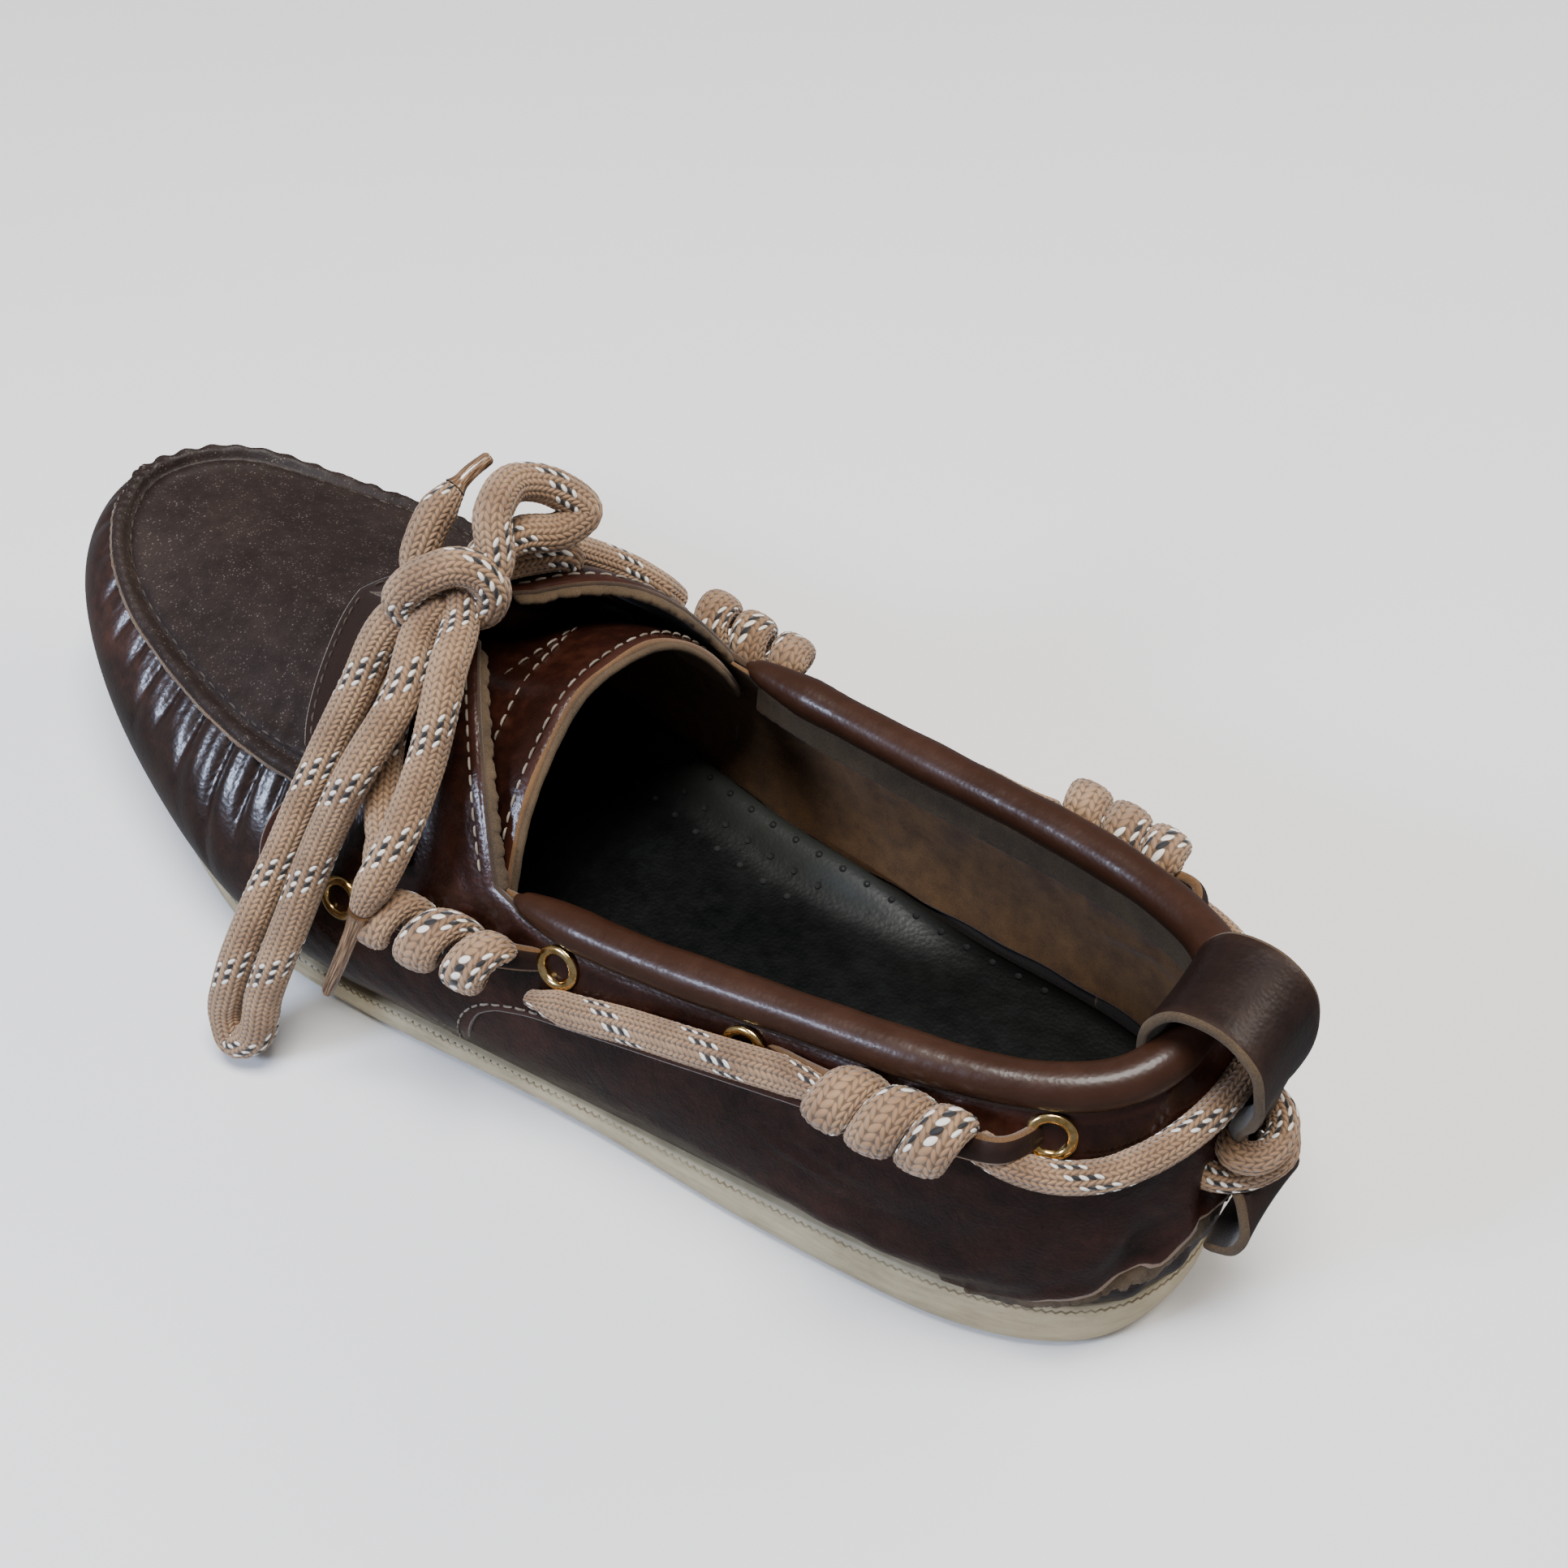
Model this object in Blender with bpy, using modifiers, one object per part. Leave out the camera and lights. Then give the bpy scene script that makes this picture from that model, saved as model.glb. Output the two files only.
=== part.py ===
# Left lace-up loafer of the moccasin family: a gathered vamp under a flat apron, a saddle with two
# facings, a padded collar roll and a rope lace that runs round the heel through a leather strap loop.
# X runs from the heel to the toe, +Y is the outer side, Z is up and the ground is Z = 0.
# Tables and named sizes are in millimetres; objects are in metres.

import math

import bmesh
import bpy
import numpy as np

MM = 0.001
ORIGIN = (137.4, 1.15)         # shoe point that becomes the origin, from the heel and the centre line
GAP = 0.35                     # clearance between pieces that touch

# Plan of the sole. Columns: distance from the heel, outer half width, inner half width.
OUTLINE = [
    (4.0, 18.0, 15.5),
    (14.0, 28.5, 26.0),
    (32.0, 35.5, 32.5),
    (60.0, 38.5, 35.0),
    (96.0, 40.5, 36.5),
    (132.0, 43.5, 40.0),
    (167.0, 47.0, 46.5),
    (197.0, 47.0, 48.5),
    (223.0, 39.5, 47.0),
    (247.0, 29.5, 40.5),
    (267.0, 17.5, 31.5),
    (279.5, 5.0, 19.5),
]
HEEL_POINT = (0.0, 1.0)
TOE_POINT = (284.0, -7.0)

# Side wall of the upper, as the four handles of a cubic arc from the sole to the rim.
# Columns: run along the side (0 heel, 1 toe), foot height, belly out, belly height,
# shoulder out, shoulder height, rim out, rim height.
WALL = [
    (0.00, 15.6, 4.0, 30.0, 2.0, 52.0, -10.0, 76.0),
    (0.12, 16.4, 5.0, 30.0, 2.0, 50.0, -9.0, 71.5),
    (0.25, 14.2, 6.0, 28.0, 3.0, 47.0, -6.0, 67.0),
    (0.40, 11.5, 6.0, 27.0, 4.0, 45.0, -4.0, 60.5),
    (0.52, 11.0, 6.5, 26.0, 2.0, 46.0, -7.0, 57.5),
    (0.64, 10.0, 9.0, 25.0, 3.0, 40.0, -10.0, 52.0),
    (0.78, 10.0, 11.0, 24.0, 5.5, 36.0, -6.0, 45.0),
    (0.90, 11.5, 10.0, 25.0, 5.0, 35.0, -3.0, 43.0),
    (1.00, 12.5, 8.0, 26.0, 4.0, 35.0, -6.0, 42.0),
]
# Extra rim height on the inner side. Columns: run, lift.
INNER_LIFT = [(0.0, 0.0), (0.3, 1.0), (0.5, 4.5), (0.62, 4.0), (0.8, 0.5), (1.0, 0.0)]
# Toe spring added to every height. Columns: distance from the heel, rise.
TOE_SPRING = [(0.0, 0.0), (215.0, 0.0), (250.0, 4.2), (284.0, 12.0)]

CORNER_RUN = 0.48              # where collar and facing meet
SLIT_RUN = 0.66                # front end of the slit between the facings
# Ridge of the instep. Columns: run, forward sweep of the middle, height, half slit width,
# extra height of the inner facing.
RIDGE = [
    (0.48, 30.0, 77.0, 4.5, 6.0),
    (0.54, 23.0, 73.5, 3.2, 4.0),
    (0.60, 16.0, 69.0, 1.6, 2.0),
    (0.66, 10.0, 64.0, 0.0, 0.0),
    (0.78, 6.0, 57.0, 0.0, 0.0),
    (0.90, 4.0, 53.5, 0.0, 0.0),
    (1.00, 0.0, 54.0, 0.0, 0.0),
]
# Same columns for the tongue under the facings.
TONGUE_RIDGE = [
    (0.475, 16.0, 71.0, 0.0, 0.0),
    (0.53, 17.0, 69.5, 0.0, 0.0),
    (0.60, 14.0, 65.0, 0.0, 0.0),
    (0.66, 10.0, 60.0, 0.0, 0.0),
]
# Top edge of the heel counter as a share of the wall. Columns: run, lower edge, upper edge.
COUNTER = [
    (0.00, 0.04, 0.68),
    (0.12, 0.04, 0.71),
    (0.25, 0.05, 0.73),
    (0.34, 0.06, 0.66),
    (0.42, 0.07, 0.56),
    (0.46, 0.08, 0.46),
    (0.475, 0.12, 0.38),
    (0.483, 0.20, 0.30),
]

UPPER_LEATHER = 2.0
COUNTER_LEATHER = 1.7
TONGUE_LEATHER = 1.6
INSOLE_THICKNESS = 3.0
ROLL_RADIUS = 4.2
ROLL_END_RUN = 0.462
WALL_HEIGHT = 70.0             # length of the side wall from sole to rim, near enough
ARCH_LIFT = 1.6                # how far the waist of the sole stands off the ground
HEEL_FLAT = (9.0, 96.0)        # part of the sole that rests at the heel, from and to
BALL_FLAT = (168.0, 222.0)     # and at the ball of the foot
SOLE_RISE = 11.0               # ground to sole bottom at the toe tip

ROPE_DIAMETER = 5.8
LACE_DIAMETER = 6.4
FLAT_ROPE = (7.6, 3.8)         # width and thickness of the flat stretch along the side
COIL_DIAMETER = 13.0
THONG_WIDTH = 4.6
THONG_THICKNESS = 1.9
EYELET_RING = 3.7              # middle radius of an eyelet's rim
EYELET_WIRE = 0.95             # half thickness of that rim

# Eyelets in the side walls, each side. Columns: run, share of the wall height.
SIDE_EYELETS = [(0.583, 0.655), (0.425, 0.835), (0.300, 0.850), (0.122, 0.876)]
# Eyelets in the facings, each side. Columns: run, share from rim to ridge.
FACING_EYELETS = [(0.565, 0.64), (0.507, 0.64)]
# Rope coils on the thongs. Columns: name, run at the front, wall share, run at the back, wall share.
COILS = [("front", 0.535, 0.735, 0.458, 0.78), ("back", 0.246, 0.870, 0.165, 0.850)]


# ---------------------------------------------------------------- curves and surfaces

def table_at(rows, at, column):
    """Smooth value of one table column, level at both ends of the table."""
    rows = np.asarray(rows, float)
    xs = rows[:, 0]
    ys = rows[:, column]
    step = np.diff(xs)
    slope = np.diff(ys) / step
    grade = np.zeros(len(xs))
    grade[1:-1] = (slope[:-1] * step[1:] + slope[1:] * step[:-1]) / (step[1:] + step[:-1])
    at = np.clip(np.asarray(at, float), xs[0], xs[-1])
    i = np.clip(np.searchsorted(xs, at) - 1, 0, len(xs) - 2)
    t = (at - xs[i]) / step[i]
    return ((2 * t**3 - 3 * t**2 + 1) * ys[i] + (t**3 - 2 * t**2 + t) * step[i] * grade[i]
            + (3 * t**2 - 2 * t**3) * ys[i + 1] + (t**3 - t**2) * step[i] * grade[i + 1])


def closed_spline(points, samples=40):
    """Smooth closed curve through the points (periodic cubic)."""
    pts = np.asarray(points, float)
    count = len(pts)
    step = np.sqrt(np.linalg.norm(np.roll(pts, -1, 0) - pts, axis=1))
    system = np.zeros((count, count))
    right = np.zeros_like(pts)
    for i in range(count):
        after = (i + 1) % count
        system[i, i - 1] += step[i - 1]
        system[i, i] += 2 * (step[i - 1] + step[i])
        system[i, after] += step[i]
        right[i] = 6 * ((pts[after] - pts[i]) / step[i] - (pts[i] - pts[i - 1]) / step[i - 1])
    bend = np.linalg.solve(system, right)
    pieces = []
    for i in range(count):
        after = (i + 1) % count
        k = step[i]
        t = np.linspace(0, 1, samples, endpoint=False)[:, None] * k
        pieces.append(bend[i] * (k - t)**3 / (6 * k) + bend[after] * t**3 / (6 * k)
                      + (pts[i] / k - bend[i] * k / 6) * (k - t)
                      + (pts[after] / k - bend[after] * k / 6) * t)
    return np.vstack(pieces + [pieces[0][:1]])


def open_spline(points, count):
    """Even points on a smooth open curve through the given points."""
    pts = np.asarray(points, float)
    chord = np.concatenate([[0], np.cumsum(np.linalg.norm(np.diff(pts, axis=0), axis=1))])
    grade = np.gradient(pts, chord, axis=0)
    at = np.linspace(0, chord[-1], 400)
    i = np.clip(np.searchsorted(chord, at) - 1, 0, len(pts) - 2)
    h = (chord[i + 1] - chord[i])[:, None]
    t = (at - chord[i])[:, None] / h
    fine = ((2 * t**3 - 3 * t**2 + 1) * pts[i] + (t**3 - 2 * t**2 + t) * h * grade[i]
            + (3 * t**2 - 2 * t**3) * pts[i + 1] + (t**3 - t**2) * h * grade[i + 1])
    length = np.concatenate([[0], np.cumsum(np.linalg.norm(np.diff(fine, axis=0), axis=1))])
    even = np.linspace(0, length[-1], count)
    return np.stack([np.interp(even, length, fine[:, k]) for k in range(pts.shape[1])], 1)


OUTLINE_CURVE = closed_spline([HEEL_POINT] + [(x, outer) for x, outer, inner in OUTLINE]
                              + [TOE_POINT] + [(x, -inner) for x, outer, inner in OUTLINE[::-1]])
OUTLINE_LENGTH = np.concatenate(
    [[0], np.cumsum(np.linalg.norm(np.diff(OUTLINE_CURVE, axis=0), axis=1))])
TOE_INDEX = int(np.argmax(OUTLINE_CURVE[:, 0]))
OUTER_LENGTH = OUTLINE_LENGTH[TOE_INDEX]
WHOLE_LENGTH = OUTLINE_LENGTH[-1]


def outline(run, side):
    """Point of the sole's plan and its outward direction. Side is 1 outside and -1 inside."""
    run = np.asarray(run, float)
    side = np.broadcast_to(np.asarray(side, float), run.shape)
    at = np.where(side > 0, run * OUTER_LENGTH, WHOLE_LENGTH - run * (WHOLE_LENGTH - OUTER_LENGTH))

    def place(where):
        where = where % WHOLE_LENGTH
        return np.stack([np.interp(where, OUTLINE_LENGTH, OUTLINE_CURVE[:, k]) for k in (0, 1)], -1)

    along = place(at + 2.0) - place(at - 2.0)
    along /= np.linalg.norm(along, axis=-1, keepdims=True)
    return place(at), np.stack([-along[..., 1], along[..., 0]], -1)


def rails(run, side):
    """The four handles of the side wall: foot, belly, shoulder and rim."""
    plan, out = outline(run, side)
    lift = table_at(INNER_LIFT, run, 1) * (np.asarray(side) < 0)
    found = []
    for offset, height, raised in ((None, 1, 0.0), (2, 3, 0.0), (4, 5, 0.6), (6, 7, 1.0)):
        away = np.zeros(np.shape(run)) if offset is None else table_at(WALL, run, offset)
        at = plan + out * away[..., None]
        z = table_at(WALL, run, height) + table_at(TOE_SPRING, at[..., 0], 1) + lift * raised
        found.append(np.concatenate([at, z[..., None]], -1))
    return found


def wall(run, side, share):
    """Outer face of the side wall, share 0 at the sole and 1 at the rim."""
    foot, belly, shoulder, rim = rails(run, side)
    v = np.asarray(share, float)[..., None]
    return foot * (1 - v)**3 + 3 * belly * v * (1 - v)**2 + 3 * shoulder * v * v * (1 - v) + rim * v**3


def instep(run, side, share, ridge=RIDGE):
    """Outer face over the foot, share 0 at the rim and 1 at the middle ridge."""
    run = np.asarray(run, float)
    side = np.broadcast_to(np.asarray(side, float), run.shape)
    shoulder, rim = rails(run, side)[2:]
    middle = (rim + rails(run, -side)[3]) / 2
    middle[..., 0] += table_at(ridge, run, 1)
    split = run < SLIT_RUN
    middle[..., 1] += table_at(ridge, run, 3) * side * split
    middle[..., 2] = table_at(ridge, run, 2) + table_at(ridge, run, 4) * (side < 0) * split
    span = middle - rim
    span[..., 0] = 0
    width = np.maximum(np.linalg.norm(span, axis=-1, keepdims=True), 1e-6)
    smooth = np.clip((0.70 - run) / 0.07, 0, 1)[..., None]
    smooth = smooth * smooth * (3 - 2 * smooth)
    rise = rim - shoulder
    rise = rise / np.linalg.norm(rise, axis=-1, keepdims=True)
    start = rise * smooth + (span / width + np.array([0, 0, 0.12])) * (1 - smooth)
    start /= np.linalg.norm(start, axis=-1, keepdims=True)
    finish = np.stack([0 * run, side, -0.15 * smooth[..., 0]], -1)
    finish /= np.linalg.norm(finish, axis=-1, keepdims=True)
    u = np.asarray(share, float)[..., None]
    face = (rim * (1 - u)**3 + 3 * (rim + start * width * 0.36) * u * (1 - u)**2
            + 3 * (middle + finish * width * 0.36) * u * u * (1 - u) + middle * u**3)
    face[..., 0] = (rim + (middle - rim) * u * (1.25 - 0.25 * u))[..., 0]
    return face


def skin(run, side, share):
    """Outer face of the whole upper: share 0 to 1 on the wall, 1 to 2 over the foot."""
    run = np.asarray(run, float)
    share = np.asarray(share, float)
    low = wall(run, side, np.clip(share, 0, 1))
    high = instep(run, side, np.clip(share - 1, 0, 1))
    return np.where((share > 1)[..., None], high, low)


def skin_frame(run, side, share):
    """Point of the upper with its outward, forward and upward directions."""
    run = np.asarray(run, float)
    share = np.asarray(share, float)
    point = skin(run, side, share)
    forward = skin(run + 0.006, side, share) - skin(run - 0.006, side, share)
    upward = skin(run, side, share + 0.012) - skin(run, side, share - 0.012)
    forward /= np.linalg.norm(forward, axis=-1, keepdims=True)
    upward /= np.linalg.norm(upward, axis=-1, keepdims=True)
    out = np.cross(forward, upward) * -side
    out /= np.linalg.norm(out, axis=-1, keepdims=True)
    return point, out, forward, upward


def off_skin(run, side, share, distance):
    """Point that far outside the upper."""
    point, out, forward, upward = skin_frame(run, side, share)
    return point + out * np.asarray(distance, float)[..., None]


# ---------------------------------------------------------------- making objects

def reset_scene():
    for item in list(bpy.data.objects):
        bpy.data.objects.remove(item, do_unlink=True)
    for name in ("loafer", "loafer_cutters"):
        old = bpy.data.collections.get(name)
        if old:
            bpy.data.collections.remove(old)


reset_scene()
PARTS = bpy.data.collections.new("loafer")
bpy.context.scene.collection.children.link(PARTS)


def colour(name, rgb, roughness, metallic=0.0):
    made = bpy.data.materials.new(name)
    made.use_nodes = True
    shader = made.node_tree.nodes["Principled BSDF"]
    shader.inputs["Base Color"].default_value = (*rgb, 1.0)
    shader.inputs["Roughness"].default_value = roughness
    shader.inputs["Metallic"].default_value = metallic
    return made


def to_world(points):
    """Shoe millimetres to metres in the part's frame."""
    return (np.asarray(points, float) - np.array([ORIGIN[0], ORIGIN[1], 0.0])) * MM


def add_mesh(name, patches, material, smooth=True):
    """One mesh from grids of points; equal points are joined, faces are turned outward after."""
    build = bmesh.new()
    for grid in patches:
        grid = to_world(grid)
        rows, columns = grid.shape[:2]
        corners = [[build.verts.new(grid[i, j]) for j in range(columns)] for i in range(rows)]
        for i in range(rows - 1):
            for j in range(columns - 1):
                build.faces.new((corners[i][j], corners[i + 1][j],
                                 corners[i + 1][j + 1], corners[i][j + 1]))
    bmesh.ops.remove_doubles(build, verts=build.verts, dist=0.00002)
    bmesh.ops.dissolve_degenerate(build, edges=build.edges, dist=0.00002)
    loose = [v for v in build.verts if not v.link_faces]
    bmesh.ops.delete(build, geom=loose, context="VERTS")
    mesh = bpy.data.meshes.new(name)
    build.to_mesh(mesh)
    build.free()
    item = bpy.data.objects.new(name, mesh)
    mesh.materials.append(material)
    PARTS.objects.link(item)
    for face in mesh.polygons:
        face.use_smooth = smooth
    return item


def set_facing(item, is_reversed):
    """Faces that agree with their neighbours, all turned over where is_reversed says so."""
    build = bmesh.new()
    build.from_mesh(item.data)
    bmesh.ops.recalc_face_normals(build, faces=build.faces)
    if is_reversed(build.faces):
        bmesh.ops.reverse_faces(build, faces=build.faces)
    build.to_mesh(item.data)
    build.free()


def faces_down(faces):
    return sum(face.normal.z for face in faces) < 0


def faces_in(faces):
    return sum(face.calc_area() * face.normal.dot(face.calc_center_median()) for face in faces) < 0


def thicken(item, thickness, offset):
    """Leather of one thickness from an open sheet, inward with offset -1 and outward with 1."""
    solid = item.modifiers.new("leather", "SOLIDIFY")
    solid.thickness = thickness * MM
    solid.offset = offset
    solid.use_even_offset = True
    solid.use_quality_normals = True
    return item


def add_tube(name, points, radius, material, taper=None, sides=2):
    """Round cord or roll along the points, closed at both ends."""
    points = to_world(points)
    curve = bpy.data.curves.new(name, "CURVE")
    curve.dimensions = "3D"
    curve.bevel_depth = radius * MM
    curve.bevel_resolution = sides
    curve.use_fill_caps = True
    spline = curve.splines.new("POLY")
    spline.points.add(len(points) - 1)
    for i, at in enumerate(points):
        spline.points[i].co = (*at, 1.0)
        spline.points[i].radius = 1.0 if taper is None else float(taper[i])
    curve.materials.append(material)
    item = bpy.data.objects.new(name, curve)
    PARTS.objects.link(item)
    return item


def ribbon(points, across, up, widths, thickness):
    """Grids of a flat strip: its middle line, the direction across and the direction of its face."""
    points = np.asarray(points, float)
    half = np.asarray(widths, float)[:, None] / 2
    rise = up * thickness / 2
    corners = [points - across * half - rise, points + across * half - rise,
               points + across * half + rise, points - across * half + rise]
    ring = np.stack(corners + corners[:1], 1)
    caps = [np.stack([corners[0][k], corners[1][k], corners[3][k], corners[2][k]]).reshape(2, 2, 3)
            for k in (0, -1)]
    return [ring] + caps


# ---------------------------------------------------------------- sole

RUBBER = colour("sole_rubber", (0.47, 0.40, 0.28), 0.62)
DARK_LEATHER = colour("dark_leather", (0.045, 0.022, 0.017), 0.28)
SADDLE_LEATHER = colour("saddle_leather", (0.055, 0.018, 0.012), 0.22)
STRAP_LEATHER = colour("strap_leather", (0.060, 0.030, 0.024), 0.38)
SOCK_LEATHER = colour("sock_leather", (0.010, 0.014, 0.013), 0.42)
ROPE = colour("rope", (0.33, 0.21, 0.13), 0.85)
GOLD = colour("eyelet_gold", (0.85, 0.62, 0.25), 0.18, 1.0)
CLEAR_TIP = colour("lace_tip", (0.55, 0.42, 0.30), 0.25)

RUNS = np.concatenate([np.linspace(0.0, CORNER_RUN, 17),
                       np.linspace(CORNER_RUN, SLIT_RUN, 8)[1:],
                       np.linspace(SLIT_RUN, 1.0, 15)[1:]])


def sole_bottom(x):
    """Height of the tread above the ground along the shoe: flat heel, arch, flat ball, toe spring."""
    x = np.asarray(x, float)
    arch = np.clip((x - HEEL_FLAT[1]) / (BALL_FLAT[0] - HEEL_FLAT[1]), 0, 1)
    spring = np.clip((x - BALL_FLAT[1]) / (TOE_POINT[0] - BALL_FLAT[1]), 0, 1)
    heel = np.clip((HEEL_FLAT[0] - x) / HEEL_FLAT[0], 0, 1)
    return ARCH_LIFT * np.sin(math.pi * arch)**2 + SOLE_RISE * spring**1.7 + 1.2 * heel**2


def foot_height(side):
    """Top of the sole under the upper's lower edge."""
    plan, out = outline(RUNS, side)
    return table_at(WALL, RUNS, 1) + table_at(TOE_SPRING, plan[:, 0], 1)


def across_rows(outer_ring, inner_ring, count):
    """Rows from the outer ring to the inner ring, straight across the shoe."""
    t = np.linspace(0, 1, count)[None, :, None]
    return outer_ring[:, None] * (1 - t) + inner_ring[:, None] * t


# Edge of the sole from the tread up. Columns: stand-out from the plan, how much of the side's swell
# it takes, share of the edge's height.
SOLE_EDGE = [
    (-3.6, 0.5, 0.0),
    (-1.9, 1.0, 0.05),
    (-0.3, 1.0, 0.28),
    (0.0, 1.0, 0.60),
    (0.6, 0.5, 0.93),
    (0.0, 0.4, 1.0),
]
# How far the sole swells out beyond the plan. Columns: run, swell.
SOLE_SWELL = [(0.0, 1.3), (0.1, 1.5), (0.2, 2.4), (0.3, 3.2), (0.4, 2.3), (0.5, 2.6), (0.65, 2.4), (1.0, 1.3)]


def make_outsole():
    rings = {}
    swell = table_at(SOLE_SWELL, RUNS, 1)
    for side in (1, -1):
        rows = []
        plan, out = outline(RUNS, side)
        top = foot_height(side)
        for stand, taken, share in SOLE_EDGE:
            at = plan + out * (stand + taken * swell)[:, None]
            height = sole_bottom(at[:, 0]) * (1 - share) + top * share
            rows.append(np.column_stack([at, height]))
        rings[side] = np.stack(rows, 1)
    tread = across_rows(rings[1][:, 0], rings[-1][:, 0], 7)
    tread[..., 2] = sole_bottom(tread[..., 0])
    bed = across_rows(rings[1][:, -1], rings[-1][:, -1], 5)
    item = add_mesh("outsole", [rings[1], rings[-1][::-1], tread, bed], RUBBER)
    set_facing(item, faces_in)
    return item


def make_insole():
    edge = {}
    for side in (1, -1):
        plan, out = outline(RUNS, side)
        edge[side] = np.column_stack([plan - out * 3.6, foot_height(side)])
    rows = across_rows(edge[1], edge[-1], 5)
    rows[..., 2] += GAP + 0.1
    item = add_mesh("insole", [rows], SOCK_LEATHER)
    set_facing(item, faces_down)
    return thicken(item, INSOLE_THICKNESS, 1)


# ---------------------------------------------------------------- upper

def roll_radius(run):
    """Collar roll, thinning to nothing where it runs into the facings."""
    fade = np.clip((ROLL_END_RUN - np.asarray(run, float)) / 0.045, 0, 1)
    return 1.3 + (ROLL_RADIUS - 1.3) * np.sqrt(fade)


def rim_share(run, side):
    """Share of the wall where the upper stops, just under the collar roll."""
    shoulder, rim = rails(run, side)[2:]
    drop = roll_radius(run) + GAP + 0.15
    drop = drop * np.clip((CORNER_RUN - np.asarray(run)) / (CORNER_RUN - ROLL_END_RUN), 0, 1)
    return 1 - drop / (3 * np.linalg.norm(rim - shoulder, axis=-1))


def make_upper():
    levels = np.linspace(0, 1, 7)
    patches = []
    for side in (1, -1):
        share = levels[None, :] * rim_share(RUNS, side)[:, None]
        grid = wall(np.repeat(RUNS[:, None], len(levels), 1), side, share)
        grid[:, 0, 2] += GAP
        patches.append(grid)
        over = RUNS[RUNS >= CORNER_RUN - 1e-9]
        share = np.linspace(0, 1, 6)
        patches.append(instep(np.repeat(over[:, None], 6, 1), side,
                              np.repeat(share[None, :], len(over), 0)))
    item = add_mesh("upper", patches, DARK_LEATHER)
    set_facing(item, faces_in)
    return thicken(item, UPPER_LEATHER, -1)


def make_roll():
    run = np.linspace(-ROLL_END_RUN, ROLL_END_RUN, 37)
    rim = np.array([rails(abs(r), 1.0 if r >= 0 else -1.0)[3] for r in run])
    return add_tube("collar_roll", rim, ROLL_RADIUS, SADDLE_LEATHER,
                    taper=roll_radius(np.abs(run)) / ROLL_RADIUS)


def make_tongue():
    """Sheet under the facings, carried down inside both walls."""
    runs = np.linspace(0.478, 0.655, 7)
    rows = []
    for run in runs:
        line = []
        for side, order in ((1, 1), (-1, -1)):
            share = np.array([0.80, 0.88, 0.95])
            low = wall(np.full(3, run), side, share)
            u = np.linspace(0, 1, 7)
            high = instep(np.full(7, run), side, u, TONGUE_RIDGE)
            half = np.concatenate([low, high])
            line.append(half if order > 0 else half[::-1][1:])
        line = np.concatenate(line)
        along = np.gradient(line, axis=0)
        along[:, 0] = 0
        along /= np.linalg.norm(along, axis=1, keepdims=True)
        inward = np.stack([0 * along[:, 0], -along[:, 2], along[:, 1]], 1)
        inward *= -np.sign(inward[len(line) // 2, 2])
        rows.append(line + inward * (UPPER_LEATHER + 0.6))
    item = add_mesh("tongue", [np.array(rows)], DARK_LEATHER)
    set_facing(item, faces_down)
    return thicken(item, TONGUE_LEATHER, -1)


def make_counter():
    """Leather overlay round the heel, one grid from the inner tip to the outer tip."""
    runs = np.concatenate([RUNS[RUNS < CORNER_RUN - 0.001], [0.470, CORNER_RUN + 0.002]])
    runs = np.sort(runs)
    rows = []
    for side in (-1, 1):
        low = table_at(COUNTER, runs, 1)
        high = table_at(COUNTER, runs, 2)
        share = low[:, None] + (high - low)[:, None] * np.linspace(0, 1, 6)[None, :]
        grid = off_skin(np.repeat(runs[:, None], 6, 1), side, share, np.full(share.shape, GAP + 0.2))
        rows.append(grid[::-1] if side < 0 else grid[1:])
    grid = np.concatenate(rows)
    middle = len(runs) - 1
    grid[middle, :, 1] = (grid[middle - 1, :, 1] + grid[middle + 1, :, 1]) / 2
    item = add_mesh("heel_counter", [grid], DARK_LEATHER)
    set_facing(item, lambda faces: min(faces, key=lambda f: f.calc_center_median().x).normal.x > 0)
    return thicken(item, COUNTER_LEATHER, 1)


# ---------------------------------------------------------------- heel strap

# Middle line of the strap in the plane of symmetry, from inside the collar over the roll, down the
# back in a standing loop to the pinch, then the lower loop. Columns: distance from the heel,
# height, width.
STRAP = [
    (12.4, 57.0, 20.0),
    (14.8, 65.0, 20.0),
    (17.7, 73.0, 20.0),
    (17.8, 81.0, 20.0),
    (13.4, 88.0, 20.0),
    (3.2, 89.4, 20.0),
    (-3.4, 85.2, 20.0),
    (-6.6, 76.5, 20.0),
    (-6.6, 66.8, 15.5),
    (-4.9, 59.4, 10.0),
    (-4.4, 54.0, 8.0),
    (-5.2, 48.9, 9.5),
    (-9.2, 44.4, 16.0),
    (-11.4, 38.8, 19.5),
    (-9.6, 33.2, 20.0),
    (-5.1, 30.4, 20.0),
]
STRAP_LEATHER_THICKNESS = 2.0
STRAP_MIDDLE = 1.0


def make_strap():
    line = open_spline(STRAP, 34)
    points = np.stack([line[:, 0], np.full(len(line), STRAP_MIDDLE), line[:, 1]], 1)
    along = np.gradient(points, axis=0)
    along /= np.linalg.norm(along, axis=1, keepdims=True)
    across = np.tile([0.0, 1.0, 0.0], (len(points), 1))
    item = add_mesh("heel_strap", ribbon(points, across, np.cross(along, across), line[:, 2],
                                         STRAP_LEATHER_THICKNESS), STRAP_LEATHER, smooth=False)
    set_facing(item, faces_in)
    return item


# ---------------------------------------------------------------- eyelets, thongs and rope

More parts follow.
